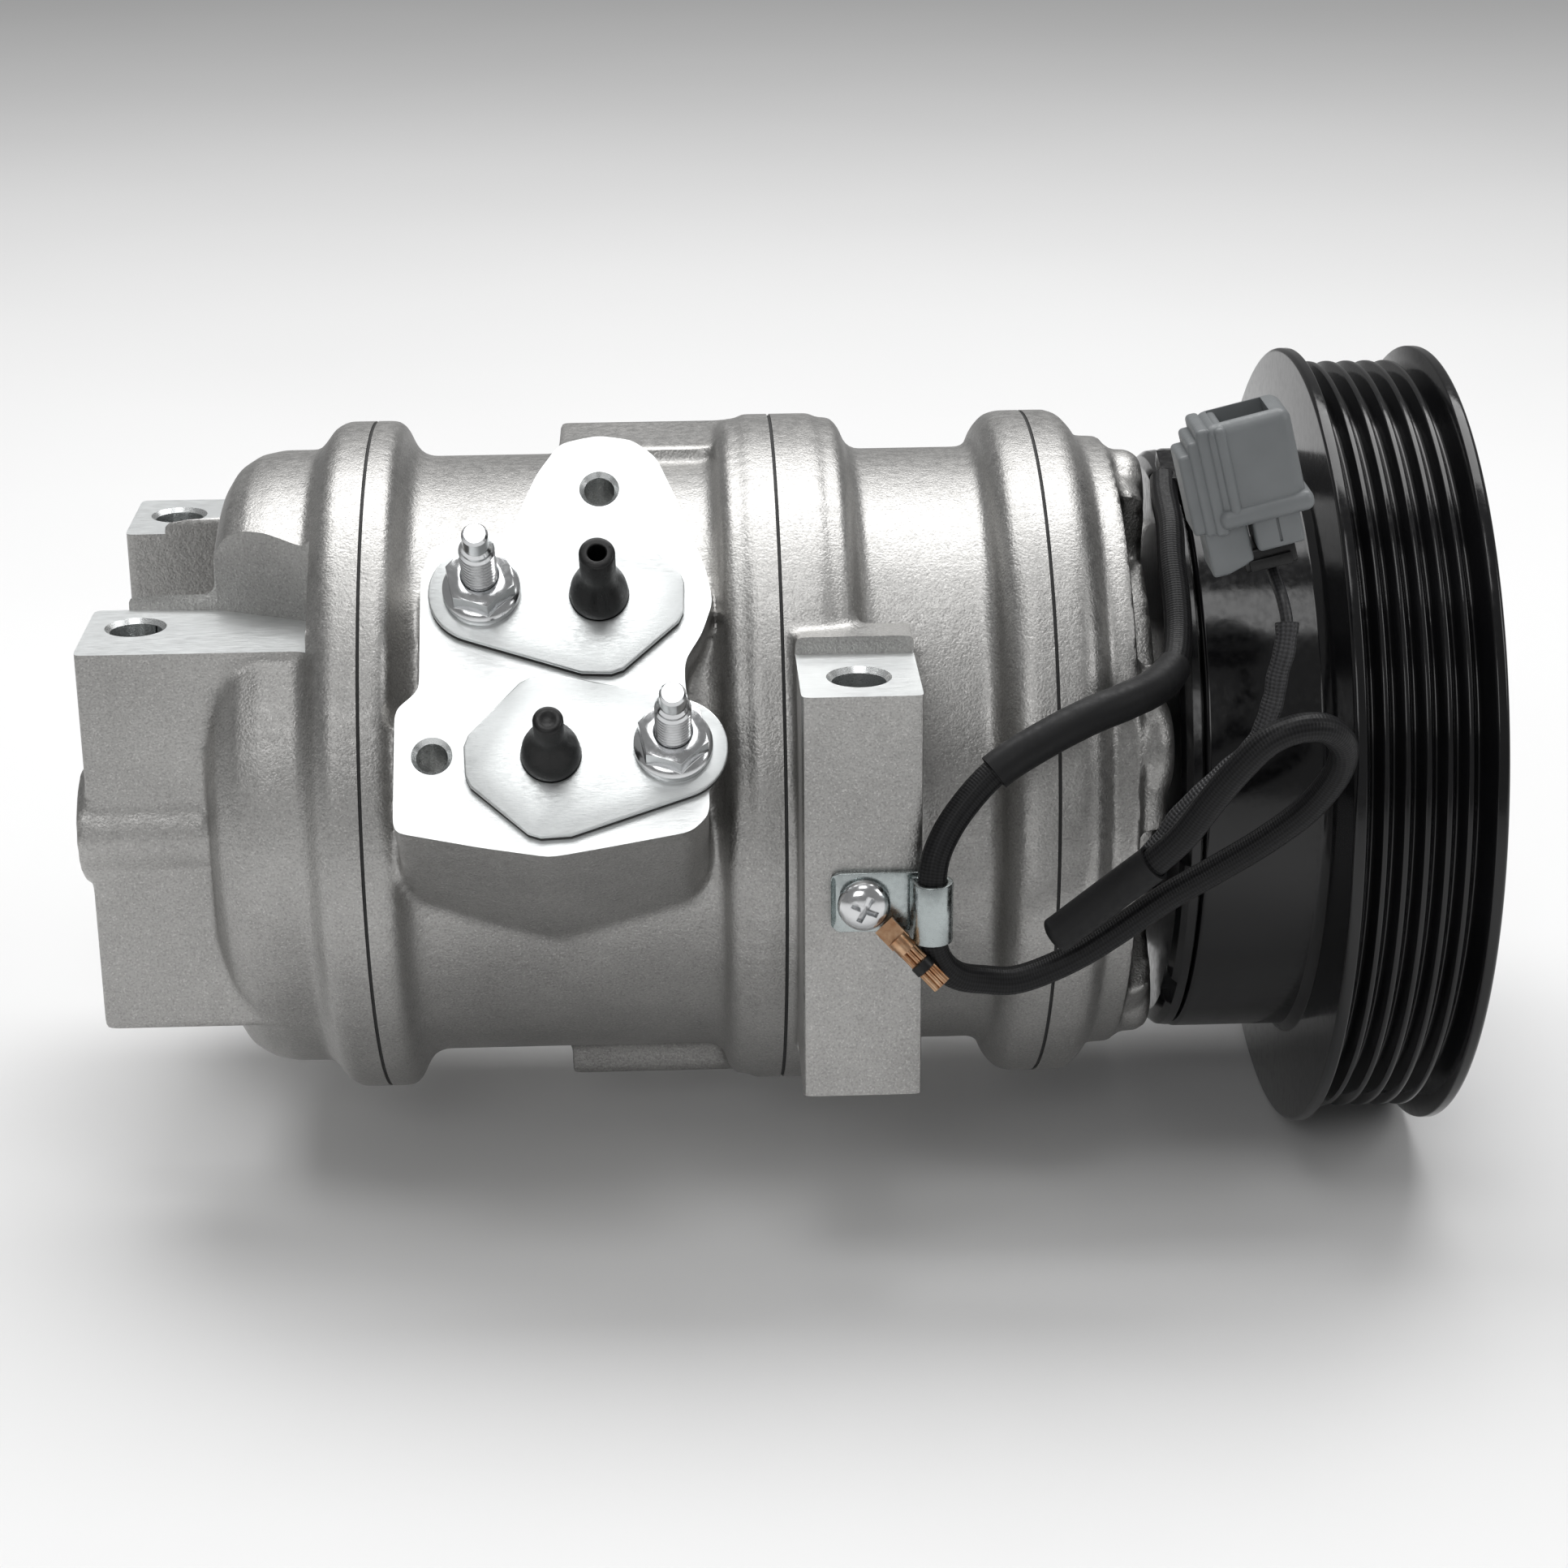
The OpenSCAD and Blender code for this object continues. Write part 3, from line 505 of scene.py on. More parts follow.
def finish_cad_nodes():
    for finish, nodes in CAD_FINISH.items():
        for n in nodes:
            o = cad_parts[n]
            o.data.materials.clear()
            o.data.materials.append(FINISHES[finish])


# ---------------------------------------------------------------- castings
PISTON_TURN, BOLT_TURN = [126 + 72 * k for k in range(5)], [90 + 72 * k for k in range(5)]


def round_place(angle, r):
    a = math.radians(angle)
    return (r * math.cos(a), r * math.sin(a))


def cylinder_bores(x0, x1):
    tools = [rod(BORE_R, x0, x1, round_place(a, BORE_CIRCLE), vertices=48) for a in PISTON_TURN]
    return tools


def rear_cover():
    s = bpy.context.scene.compressor_castings
    shell = lathe([(0, -175), (61, -175), (61, -182.6), (60, -184.6), (57.8, -186.2), (56, -187.8),
                   (56, -194.5),
                   (55.2, -198.5), (53, -202), (49.5, -204.2), (0, -204.2)], 128)
    near = block((-225.5, -45, -34.2), (-186.5, -20, 38))
    far = block((-227, 27, -34.2), (-190, 50.5, 38))
    near_rib = rod(10, -227.3, -199, (-36.5, 1.5))
    far_rib = rod(10, -228.6, -199, (39, 1.5))
    body = blend_casting(weld(near, far, near_rib, far_rib, shell), s.voxel, 7)
    slice_off(body, (-177.8, 0, 0), (1, 0, 0))
    flats = [prism([(x, y, COVER_TOP) for x, y in pts], (0, 0, 30)) for pts in (
        [(-235, -60), (-186.5, -60), (-186.5, -29), (-195, -25), (-204, -21), (-235, -19)],
        [(-235, 60), (-190, 60), (-190, 34), (-204, 28), (-235, 26)])]
    holes = []
    for x, y in REAR_HOLES:
        holes += [rod(BOLT_HOLE_R, -50, 60, (x, y), "Z"), cone(4.4, 5.6, 34.1, 35.3, (x, y), "Z")]
    seat = rod(51, -181.1, -170)
    carve(body, *flats, *holes, seat)
    for a in BOLT_TURN:
        carve(body, rod(3, -192, -170, round_place(a, BOLT_CIRCLE), vertices=24))
    mark_faces(body, 1, lambda c, n: abs(c.z - COVER_TOP) < 0.05 and n.z > 0.9 and c.x < -186)
    mark_faces(body, 2, lambda c, n: any(math.hypot(c.x - x, c.y - y) < 5.7 for x, y in REAR_HOLES)
               and c.z < 34.95 and abs(n.z) < 0.9)
    hand_over(body, "rear_cover_casting", "housing",
              [FINISHES["cast"], FINISHES["milled"], FINISHES["bore"]], ["rear_cover"])


PORT_OUTLINE = [(-137, 30.5), (-131, 29.5), (-127, 26), (-123, 16), (-119, 4), (-118, -2), (-120, -8),
                (-123, -13),
                (-123, -18), (-119.5, -36), (-119.5, -41), (-122.5, -44), (-136.5, -46.5),
                (-145.5, -48), (-157, -46),
                (-171, -43), (-171, -21), (-167, -17.5), (-167, 3), (-165.5, 9.5), (-161, 10.5), (-152, 12),
                (-147.5, 23), (-143.5, 29)]
PORTS = {"upper": ((-137, -1.2), (-156.6, -0.3)), "lower": ((-145.2, -30.6), (-125.2, -29.6))}
THREADS = ((-136.8, 20), (-164.8, -29.5))


def rounded_outline(points, radius):
    """The outline with each corner rounded over this distance either side of it."""
    out = []
    n = len(points)
    for i in range(n):
        before, at, after = points[i - 1], points[i], points[(i + 1) % n]
        a = at.lerp(before, min(0.4, radius / (before - at).length))
        b = at.lerp(after, min(0.4, radius / (after - at).length))
        out += [a, (a + at * 2 + b) / 4, b]
    return out


def rear_block():
    s = bpy.context.scene.compressor_castings
    shell = lathe([(0, -180), (61, -180), (61, -173.8), (60, -172.4), (57.6, -171.4), (55.4, -170),
                   (54.5, -168),
                   (54.5, -118.8), (55.6, -117), (58.8, -116), (60.3, -114.6), (60.3, -112.3), (61.1, -111.4),
                   (61.1, -104), (0, -104)], 128)
    outline = rounded_outline([Vector((x, t, 0)) for x, t in PORT_OUTLINE], 1.2)
    pad = prism([on_port(p.x, p.y, 20) for p in outline], [c * 45.5 for c in PORT_OUT])
    top = block((-144.5, 0.0, 30), (-104, 20, 57.2))
    under = block((-145, -14, -59.8), (-104, 14, -30))
    body = blend_casting(weld(pad, top, under, shell), s.voxel, 6)
    slice_off(body, (-177.2, 0, 0), (-1, 0, 0))
    slice_off(body, (-106.8, 0, 0), (1, 0, 0))
    slice_off(body, on_port(0, 0, PORT_N), PORT_OUT)
    tools = []
    for (px, pt), r, deep in ((PORTS["upper"][0], 8, 18), (PORTS["lower"][0], 6.5, 12)):
        tools.append(port_lathe(px, pt, [(0, PORT_N - deep), (r, PORT_N - deep), (r, 70), (0, 70)]))
    for x, t in THREADS:
        tools.append(port_lathe(x, t, [(0, 51), (2.6, 51), (2.6, 61.2), (3.5, 62.1), (3.5, 66), (0, 66)], 48))
    for x, t in (PORTS["upper"][1], PORTS["lower"][1]):
        tools.append(port_lathe(x, t, [(0, 53), (3, 53), (3, 66), (0, 66)], 48))
    carve(body, *tools)
    carve(body, *cylinder_bores(-185, -100), rod(12, -185, -100), rod(50, -141, -100, vertices=96))
    out = Vector(PORT_OUT)
    mark_faces(body, 1, lambda c, n: n.dot(out) > 0.95 and abs(c.dot(out) - PORT_N) < 0.05)

    def in_thread(c, n):
        rise = c.dot(Vector(PORT_OUT))
        return rise > 48 and n.dot(Vector(PORT_OUT)) < 0.95 and any((c - on_port(x, t,
                rise)).length < 3.7 for x, t in THREADS)
    mark_faces(body, 2, in_thread)
    hand_over(body, "rear_block_casting", "housing",
              [FINISHES["cast"], FINISHES["milled"], FINISHES["bore"]], ["rear_cylinder_block"])


def front_block():
    s = bpy.context.scene.compressor_castings
    shell = lathe([(0, -109), (61.1, -109), (61.1, -98.9), (60.3, -98.2), (60.3, -95.4), (58.8, -94),
                   (55.8, -92.8),
                   (54.5, -91.2), (54.5, -71.2), (55.4, -69.8), (58.4, -68.6), (60.4, -66.8),
                   (61, -64.6), (61, -58),
                   (0, -58)], 128)
    boss = block((-104.5, -74, -39), (-84.7, -44, 38))
    top = block((-109, 0.0, 30), (-95.2, 20, 57.2))
    body = blend_casting(weld(boss, top, shell), s.voxel, 6)
    slice_off(body, (-106.2, 0, 0), (-1, 0, 0))
    slice_off(body, (-60.8, 0, 0), (1, 0, 0))
    top_cut = block((-110, -80, COVER_TOP), (-80, -52, 45))
    low_cut = block((-110, -80, -45), (-80, -52, -36))
    hole = rod(BOLT_HOLE_R, -50, 50, CENTRE_HOLE, "Z")
    lip = cone(4.4, 5.7, 34.0, 35.3, CENTRE_HOLE, "Z")
    screw_hole = rod(2, -75, -69.8, CLAMP_SCREW, "Y", 32)
    carve(body, top_cut, low_cut, hole, lip, screw_hole)
    carve(body, *cylinder_bores(-112, -55), rod(12, -112, -55), rod(50, -112, -97, vertices=96))
    mark_faces(body, 1, lambda c, n: abs(abs(c.z + 0.5) - 35.5) < 0.05 and abs(n.z) > 0.9 and c.y < -50)
    mark_faces(body, 2, lambda c, n: math.hypot(c.x - CENTRE_HOLE[0],
                                                c.y - CENTRE_HOLE[1]) < 5.8 and c.z < 34.95 and abs(n.z) < 0.9)
    hand_over(body, "front_block_casting", "housing",
              [FINISHES["cast"], FINISHES["milled"], FINISHES["bore"]], ["front_cylinder_block"])


def front_cover():
    s = bpy.context.scene.compressor_castings
    shell = lathe([(0, -63), (61, -63), (61, -56), (60.3, -54), (58.4, -52.2), (56.2, -50.9),
                   (56, -46.4), (55.5, -45.9),
                   (53, -45.9), (53, -43.6), (51.4, -41.2), (49, -40.8), (0, -40.8)], 128)
    for a in PISTON_TURN:
        arc = [math.radians(a - 20 + 4 * k) for k in range(11)]
        ring = [(-46, 58 * math.cos(t), 58 * math.sin(t)) for t in arc]
        ring += [(-46, 40 * math.cos(t), 40 * math.sin(t)) for t in reversed(arc)]
        carve(shell, prism(ring, (8, 0, 0)))
    bosses = [lathe([(0, -50), (8.6, -50), (8.6, -42.4), (7.4, -40.2), (5, -39.7), (0, -39.7)], 40,
                    centre=(0, *round_place(a, BOLT_CIRCLE))) for a in BOLT_TURN]
    body = blend_casting(weld(*bosses, shell), s.voxel, 4)
    slice_off(body, (-60.2, 0, 0), (-1, 0, 0))
    nose = lathe([(8.6, -55), (22, -55), (22, -35.2), (20, -35.2), (20, -34.9), (18.6, -34.9),
                  (18.6, -33.2), (20, -33.2),
                  (20, -15.2), (17.5, -15.2), (17.5, 5.2), (16.4, 5.2), (16.4, 6.8), (17.5, 6.8),
                  (17.5, 7), (12.5, 7),
                  (12.5, -30), (8.6, -30)], 96)
    cuts = [rod(8.6, -64, -35), rod(51, -64, -56.9, vertices=96)]
    cuts += [rod(5.4, -46, -36, round_place(a, BOLT_CIRCLE), vertices=32) for a in BOLT_TURN]
    carve(body, *cuts)
    body = weld(nose, body)
    hand_over(body, "front_cover_casting", "housing", [FINISHES["cast"]], ["front_cover"])


# ---------------------------------------------------------------- clutch
def pulley():
    edge = bpy.context.scene.compressor_clutch.edge / MM
    grooves = []
    for k in range(6):
        x = (k - 2.5) * 3.56
        grooves += [(69, x - 1.33), (66.1, x - 0.28), (66.1, x + 0.28), (69, x + 1.33)]
    rotor = lathe([(24.5, -18), (31, -18), (31, 4), (49.5, 4), (49.5, -34.6), (52.9, -34.6),
                   (53.5, -34), (53.5, -14.5),
                   (55, -13), (71, -13), (71.5, -12.5), (71.5, -10.9)] + grooves
                  + [(71.5, 10.9), (71.5, 12.5), (71, 13), (63.5, 13), (61.5, -8), (58.5, -8), (57, 9),
                     (25, 9), (25, 5.6),
                     (26, 5.1), (26, -15), (24.5, -15)], 256)
    soften(rotor, edge, 3, 25)
    for i in range(6):
        for r0, r1, wide, start in ((37, 39.4, 46, 0), (45, 47.4, 48, 30)):
            arc = [math.radians(i * 60 + start - 90 + wide * k / 10) for k in range(11)]
            ring = [(2, r1 * math.cos(t), r1 * math.sin(t)) for t in arc]
            ring += [(2, r0 * math.cos(t), r0 * math.sin(t)) for t in reversed(arc)]
            carve(rotor, prism(ring, (10, 0, 0)))
    hand_over(rotor, "pulley", "pulley", [FINISHES["enamel"]], ["pulley_rotor"], 30)
    mark_faces(rotor, 1, lambda c, n: n.x > 0.9 and abs(c.x - 9) < 0.1)
    rotor.data.materials[1] = FINISHES["steel"]


# ---------------------------------------------------------------- port fittings
def cap_outline(span):
    pts = [(2.5, 14.4), (-2.5, 14.4), (-4.5, 13.6), (-13.4, 4.6), (-14.2, 2.6), (-14.2, -2.6),
           (-13.4, -4.6), (-4.5, -13.6),
           (-2.5, -14.4), (2.5, -14.4)]
    for k in range(-10, 11):
        a = math.radians(73 * k / 10)
        pts.append((span + 9 * math.cos(a), 9 * math.sin(a)))
    return pts


def port_cap(side):
    (px, pt), (sx, st) = PORTS[side]
    span, turn = math.hypot(sx - px, st - pt), math.atan2(st - pt, sx - px)

    def sheet(low, high, inset):
        pts = []
        for a, b in cap_outline(span):
            k = Vector((a - span * 0.35, b))
            k = k * (1 - inset / max(k.length, 1)) + Vector((span * 0.35, 0))
            pts.append(on_port(px + k.x * math.cos(turn) - k.y * math.sin(turn),
                               pt + k.x * math.sin(turn) + k.y * math.cos(turn),
                               PORT_N + low))
        return prism(pts, [c * (high - low) for c in PORT_OUT])
    gasket, plate = sheet(0.02, 0.55, 0.05), sheet(0.85, 1.82, 0.0)
    core = sheet(0.4, 1.0, 0.6)
    soften(plate, 0.22, 3)
    for o in (gasket, plate, core):
        carve(o, port_lathe(px, pt, [(0, 60), (5, 60), (5, 66), (0, 66)]),
              port_lathe(sx, st, [(0, 60), (3.2, 60), (3.2, 66), (0, 66)]))
    hand_over(plate, f"cap_plate_{side}", "housing", [FINISHES["cap"]],
              [f"port_cap_{side}"])
    hand_over(weld(core, gasket), f"cap_gasket_{side}", "housing", [FINISHES["gasket"]])


def port_plug(side, foot, tip, hole, height):
    (px, pt), _ = PORTS[side]
    base = [(0, 53), (foot, 53), (foot, 61.8), (4.85, 61.8), (4.85, 63.9), (4.95, 64.3), (4.85, 65.4),
            (4.7, 66.6),
            (4.2, 68.2), (tip + 0.55, 69.8), (tip + 0.12, 71.0), (tip, 72.4), (tip, PORT_N + height - 0.45),
            (tip - 0.15, PORT_N + height - 0.15), (tip - 0.45, PORT_N + height)]
    if hole:
        base += [(hole + 0.15, PORT_N + height), (hole, PORT_N + height - 0.15), (hole, PORT_N + height - 8),
                 (0, PORT_N + height - 8)]
    else:
        base += [(1.2, PORT_N + height), (0.9, PORT_N + height - 0.15), (0, PORT_N + height - 0.15)]
    plug = port_lathe(px, pt, base, 72)
    hand_over(plug, f"plug_{side}", "housing", [FINISHES["rubber"]],
              [f"port_plug_{side}"], 40)


def thread_profile(radius, pitch, start, end):
    pts = []
    n = int((end - start) / pitch)
    for i in range(n):
        a = start + i * pitch
        pts += [(radius - 0.55, a), (radius, a + pitch * 0.45), (radius, a + pitch * 0.55)]
    return pts


def studs_and_nuts():
    studs, nuts = [], []
    for x, t in (PORTS["upper"][1], PORTS["lower"][1]):
        top = PORT_N
        pts = [(0, top - 8.5), (3, top - 8.5), (3, top + 8)] + thread_profile(3, 1.0, top + 8, top + 17)
        pts += [(2.6, top + 17.1), (2.6, top + 17.7), (2.2, top + 18.4), (2.2, top + 21.6),
                (1.8, top + 22.2), (0, top + 22.2)]
        stud = port_lathe(x, t, pts, 48)
        mark_faces(stud, 1, lambda c, n: c.dot(Vector(PORT_OUT)) < top + 17)
        studs.append(stud)
        foot = top + 1.84
        flange = port_lathe(x, t, [(3, foot), (6.4, foot), (6.55, foot + 0.3), (6.5, foot + 1.7),
                                   (6.1, foot + 2.2),
                                   (5.3, foot + 2.6), (3, foot + 2.6)], 72)
        bpy.ops.mesh.primitive_cylinder_add(vertices=6, radius=6.0 * MM, depth=4.0 * MM, location=(0, 0, 0))
        hexagon = bpy.context.active_object
        place = Matrix((Vector((1, 0, 0)), Vector(PORT_UP), Vector(PORT_OUT))).transposed().to_4x4()
        place.translation = on_port(x, t, foot + 2.2 + 2.0) * MM
        hexagon.matrix_world = place @ Matrix.Rotation(math.radians(12), 4, "Z")
        settle(hexagon)
        crown = port_lathe(x, t, [(0, foot - 1), (8, foot - 1), (8, foot + 4.6), (5.0, foot + 6.3),
                                  (5.0, foot + 9), (0, foot + 9)], 72)
        carve(hexagon, crown, way="INTERSECT")
        carve(hexagon, port_lathe(x, t, [(0, foot - 2), (3.02, foot - 2), (3.02, foot + 5.8),
                                         (3.5, foot + 6.5), (3.5, foot + 9),
                                         (0, foot + 9)], 48))
        nuts.append(weld(flange, hexagon))
    hand_over(weld(*studs), "studs", "housing",
              [FINISHES["zinc"], FINISHES["thread"]], ["port_studs"], 25)
    hand_over(weld(*nuts), "flange_nuts", "housing", [FINISHES["zinc"]],
              ["port_nuts"], 30)


# ---------------------------------------------------------------- wiring
LEAD_ROUTE = [(-38, -16, 54), (-38.5, -21, 52), (-38.5, -28, 49), (-39, -34.5, 44.5), (-39, -41, 39.5),
              (-39.5, -47, 35),
              (-41, -53, 32), (-45, -59, 30.5), (-50.5, -64.5, 30), (-57.5, -68, 28.5),
              (-65.5, -70, 25), (-73, -71.5, 20.5),
              (-79, -74, 14.5), (-82.5, -76.5, 9), (-83.5, -77.6, 4), (-83.5, -77.6, -1),
              (-83.5, -77.6, -6), (-82, -77, -10.5),
              (-79, -76, -13.5), (-74.5, -74.5, -15), (-69.5, -74, -15.5), (-64, -73.5, -14),
              (-58, -73.5, -11), (-52, -73.5, -7),
              (-44, -74, -1), (-36.5, -75, 4), (-29, -76.5, 9.5), (-22.5, -78, 15.5),
              (-18.5, -80.5, 22.5), (-18.5, -84, 28.5),
              (-22, -86.8, 32.5), (-27, -88.1, 33), (-31.5, -88.2, 31), (-35.5, -87.5, 26.5),
              (-39.5, -86, 20.5), (-43.5, -84.5, 14),
              (-48, -82.5, 8.5), (-53, -80.5, 3.5), (-58, -79.5, -1), (-62, -79, -4.5)]
WIRE_ROUTE = [(-54.5, -77, 1), (-51.5, -76, 3.5), (-48.5, -76, 6.5), (-45.5, -76, 10), (-43, -76, 14),
              (-39.5, -76.5, 18),
              (-35.5, -76.5, 22), (-32.5, -77, 25), (-30.5, -77, 28), (-29.5, -77, 31),
              (-28.5, -76.5, 34.5), (-28, -76, 38),
              (-27, -75.5, 42), (-26.5, -74, 46), (-27, -71.5, 49.5), (-27.5, -68, 51.5),
              (-28, -65.5, 53.5), (-29, -65, 57.5)]


def smooth_route(points, per_span):
    """Points along a smooth line through the route."""
    p = [Vector(q) for q in points]
    p = [p[0] * 2 - p[1]] + p + [p[-1] * 2 - p[-2]]
    out = []
    for i in range(1, len(p) - 2):
        for k in range(per_span):
            t = k / per_span
            a, b, c, d = p[i - 1 : i + 3]
            bend, twist = 2 * a - 5 * b + 4 * c - d, 3 * b - a - 3 * c + d
            out.append(0.5 * ((2 * b) + (c - a) * t + bend * t * t + twist * t ** 3))
    return out + [p[-2]]


def skin(name, route, radii, sides, caps=(True, True)):
    """A tube swept along the route, with a map of (length in metres, turn)."""
    frames = []
    side = None
    for i, p in enumerate(route):
        t = (route[min(i + 1, len(route) - 1)] - route[max(i - 1, 0)]).normalized()
        side = t.cross(Vector((0, 1, 0))) if side is None else side - t * side.dot(t)
        side = side.normalized()
        frames.append((p, side, t.cross(side)))
    bm = bmesh.new()
    uv = bm.loops.layers.uv.new("along")
    rings = []
    for (p, u, v), r in zip(frames, radii):
        turns = [math.tau * k / sides for k in range(sides)]
        rings.append([bm.verts.new((p + r * (u * math.cos(a) + v * math.sin(a))) * MM) for a in turns])
    gone = 0.0
    for i in range(len(route) - 1):
        step = (route[i + 1] - route[i]).length * MM
        for k in range(sides):
            j = (k + 1) % sides
            face = bm.faces.new((rings[i][k], rings[i][j], rings[i + 1][j], rings[i + 1][k]))
            for loop, (a, b) in zip(face.loops, ((0, k), (0, k + 1), (1, k + 1), (1, k))):
                loop[uv].uv = (gone + a * step, b / sides)
        gone += step
    if caps[0]:
        bm.faces.new(list(reversed(rings[0])))
    if caps[1]:
        bm.faces.new(rings[-1])
    mesh = bpy.data.meshes.new(name)
    bm.normal_update()
    bm.to_mesh(mesh)
    bm.free()
    obj = bpy.data.objects.new(name, mesh)
    bpy.context.scene.collection.objects.link(obj)
    edit_all(obj)
    bpy.ops.mesh.normals_make_consistent(inside=False)
    leave()
    return obj


def part_of(points, first, last, per_span=4):
    whole = smooth_route(points, per_span)
    return whole[first * per_span : last * per_span + 1]


def wiring():
    s = bpy.context.scene.compressor_wiring
    lead_path, wire_path = smooth_route(LEAD_ROUTE, 5), smooth_route(WIRE_ROUTE, 5)
    lead = skin("lead", lead_path, [s.lead_d / MM / 2] * len(lead_path), 20)
    hand_over(lead, "lead", "housing", [FINISHES["jacket"]], ["lead_wire"], 50)
    wire = skin("thin_wire", wire_path, [s.thin_d / MM / 2] * len(wire_path), 14)
    hand_over(wire, "thin_wire", "housing", [FINISHES["thin"]], ["connector_wire"], 50)

    path = part_of(LEAD_ROUTE, 6, 11, 6)
    n = len(path)
    radii = [2.95 + 0.2 * min(1, i / 3) for i in range(n)]
    tube = skin("lead_sleeve_tube", path, radii, 32, (False, False))
    modify(tube, "SOLIDIFY", thickness=0.00055, offset=-1)
    hand_over(tube, "lead_sleeve_tube", "housing", [FINISHES["sleeve"]], ["lead_sleeve"], 50)

    path = smooth_route([LEAD_ROUTE[i] for i in (36, 37, 38, 39)] + [(-64, -79, -6)], 8)
    n = len(path)
    radii = [3.1] * n
    for i, r in enumerate((1.4, 2.3, 2.75, 3.0)):
        radii[n - 1 - i] = r
    end = skin("splice_cap", path, radii, 32, (False, True))
    modify(end, "SOLIDIFY", thickness=0.0005, offset=-1)
    hand_over(end, "splice_cap", "housing", [FINISHES["sleeve"]], ["splice_sleeve"], 50)

    path = part_of(WIRE_ROUTE, 0, 13, 6)
    n = len(path)
    radii = [1.75 + 0.06 * math.sin(i * 0.9) + (0.14 if i > n - 4 else 0) for i in range(n)]
    braid = skin("braid_tube", path, radii, 28, (False, False))
    modify(braid, "SOLIDIFY", thickness=0.00035, offset=-1)
    hand_over(braid, "braid_tube", "housing", [FINISHES["braid"]], ["wire_sleeve"], 50)
    return lead, wire, lead_path, wire_path


def connector_place(obj):
    """Moves a piece built round the connector's own origin to where the connector hangs."""
    lean = Matrix.Rotation(math.radians(CONNECTOR_LEAN), 4, "Y")
    obj.matrix_world = Matrix.Translation(Vector(CONNECTOR_AT) * MM) @ lean
    return settle(obj)


def connector():
    body = block((-6.6, -6, 5.6), (7.6, 6, 22.5))
    soften(body, 2.0, 5)
    lip = block((-6.9, -6.9, 5.3), (8.5, 6.2, 8.6))
    soften(lip, 1.4, 5)
    ridge = block((-4.9, -6.7, 7.0), (-3.1, 6, 22.2))
    soften(ridge, 0.8, 4)
    socket = block((-4.5, -4, 14), (4.5, 4, 24))
    carve(body, socket)
    pieces = [body, lip, ridge]
    for x0, x1, y0, y1, z0, z1 in ((-11.2, -8.6, -4.6, 4.6, 5.0, 18.6), (-9.4, -7.2, -5.2, 5.2, 4.6, 20.6),
                                                   (-7.8, -5.6, -5.8, 5.8, 4.4, 22.4)):
        rib = block((x0, y0, z0), (x1, y1, z1))
        soften(rib, 0.75, 4)
        pieces.append(rib)
    skirt = block((-9.6, -4.4, -2.6), (-2.6, 4.6, 8.0))
    wedge = prism([(-12, -6, -4), (-2, -6, -4), (-2, -6, -1.2)], (0, 14, 0))
    carve(skirt, wedge)
    soften(skirt, 0.6, 3)
    latch = block((-1.8, -5.6, 0.2), (5.9, 3.6, 7.0))
    soften(latch, 0.7, 3)
    hollow = block((-1.2, -3.6, -1), (4.4, 2.6, 3.2))
    carve(latch, hollow)
    groove = block((1.9, -6.2, 1.2), (2.3, -5.2, 6.0))
    carve(latch, groove)
    whole = weld(skirt, latch, *pieces[1:], body)
    connector_place(whole)
    hand_over(whole, "connector_shell", "housing", [FINISHES["shell"]],
              ["connector_housing"], 40)
    clip = block((-4.4, -3.8, -3.3), (4.3, 3.8, 0.4))
    soften(clip, 0.5, 3)
    carve(clip, rod(1.6, -6, 4, (0.2, 0), "Z", 32))
    bar = block((-3.6, -4.6, -3.2), (3.4, -3.6, -1.2))
    soften(bar, 0.3, 2)
    clip = weld(bar, clip)
    connector_place(clip)
    hand_over(clip, "connector_lock", "housing", [FINISHES["rubber"]], ["connector_clip"], 40)
    return whole, clip


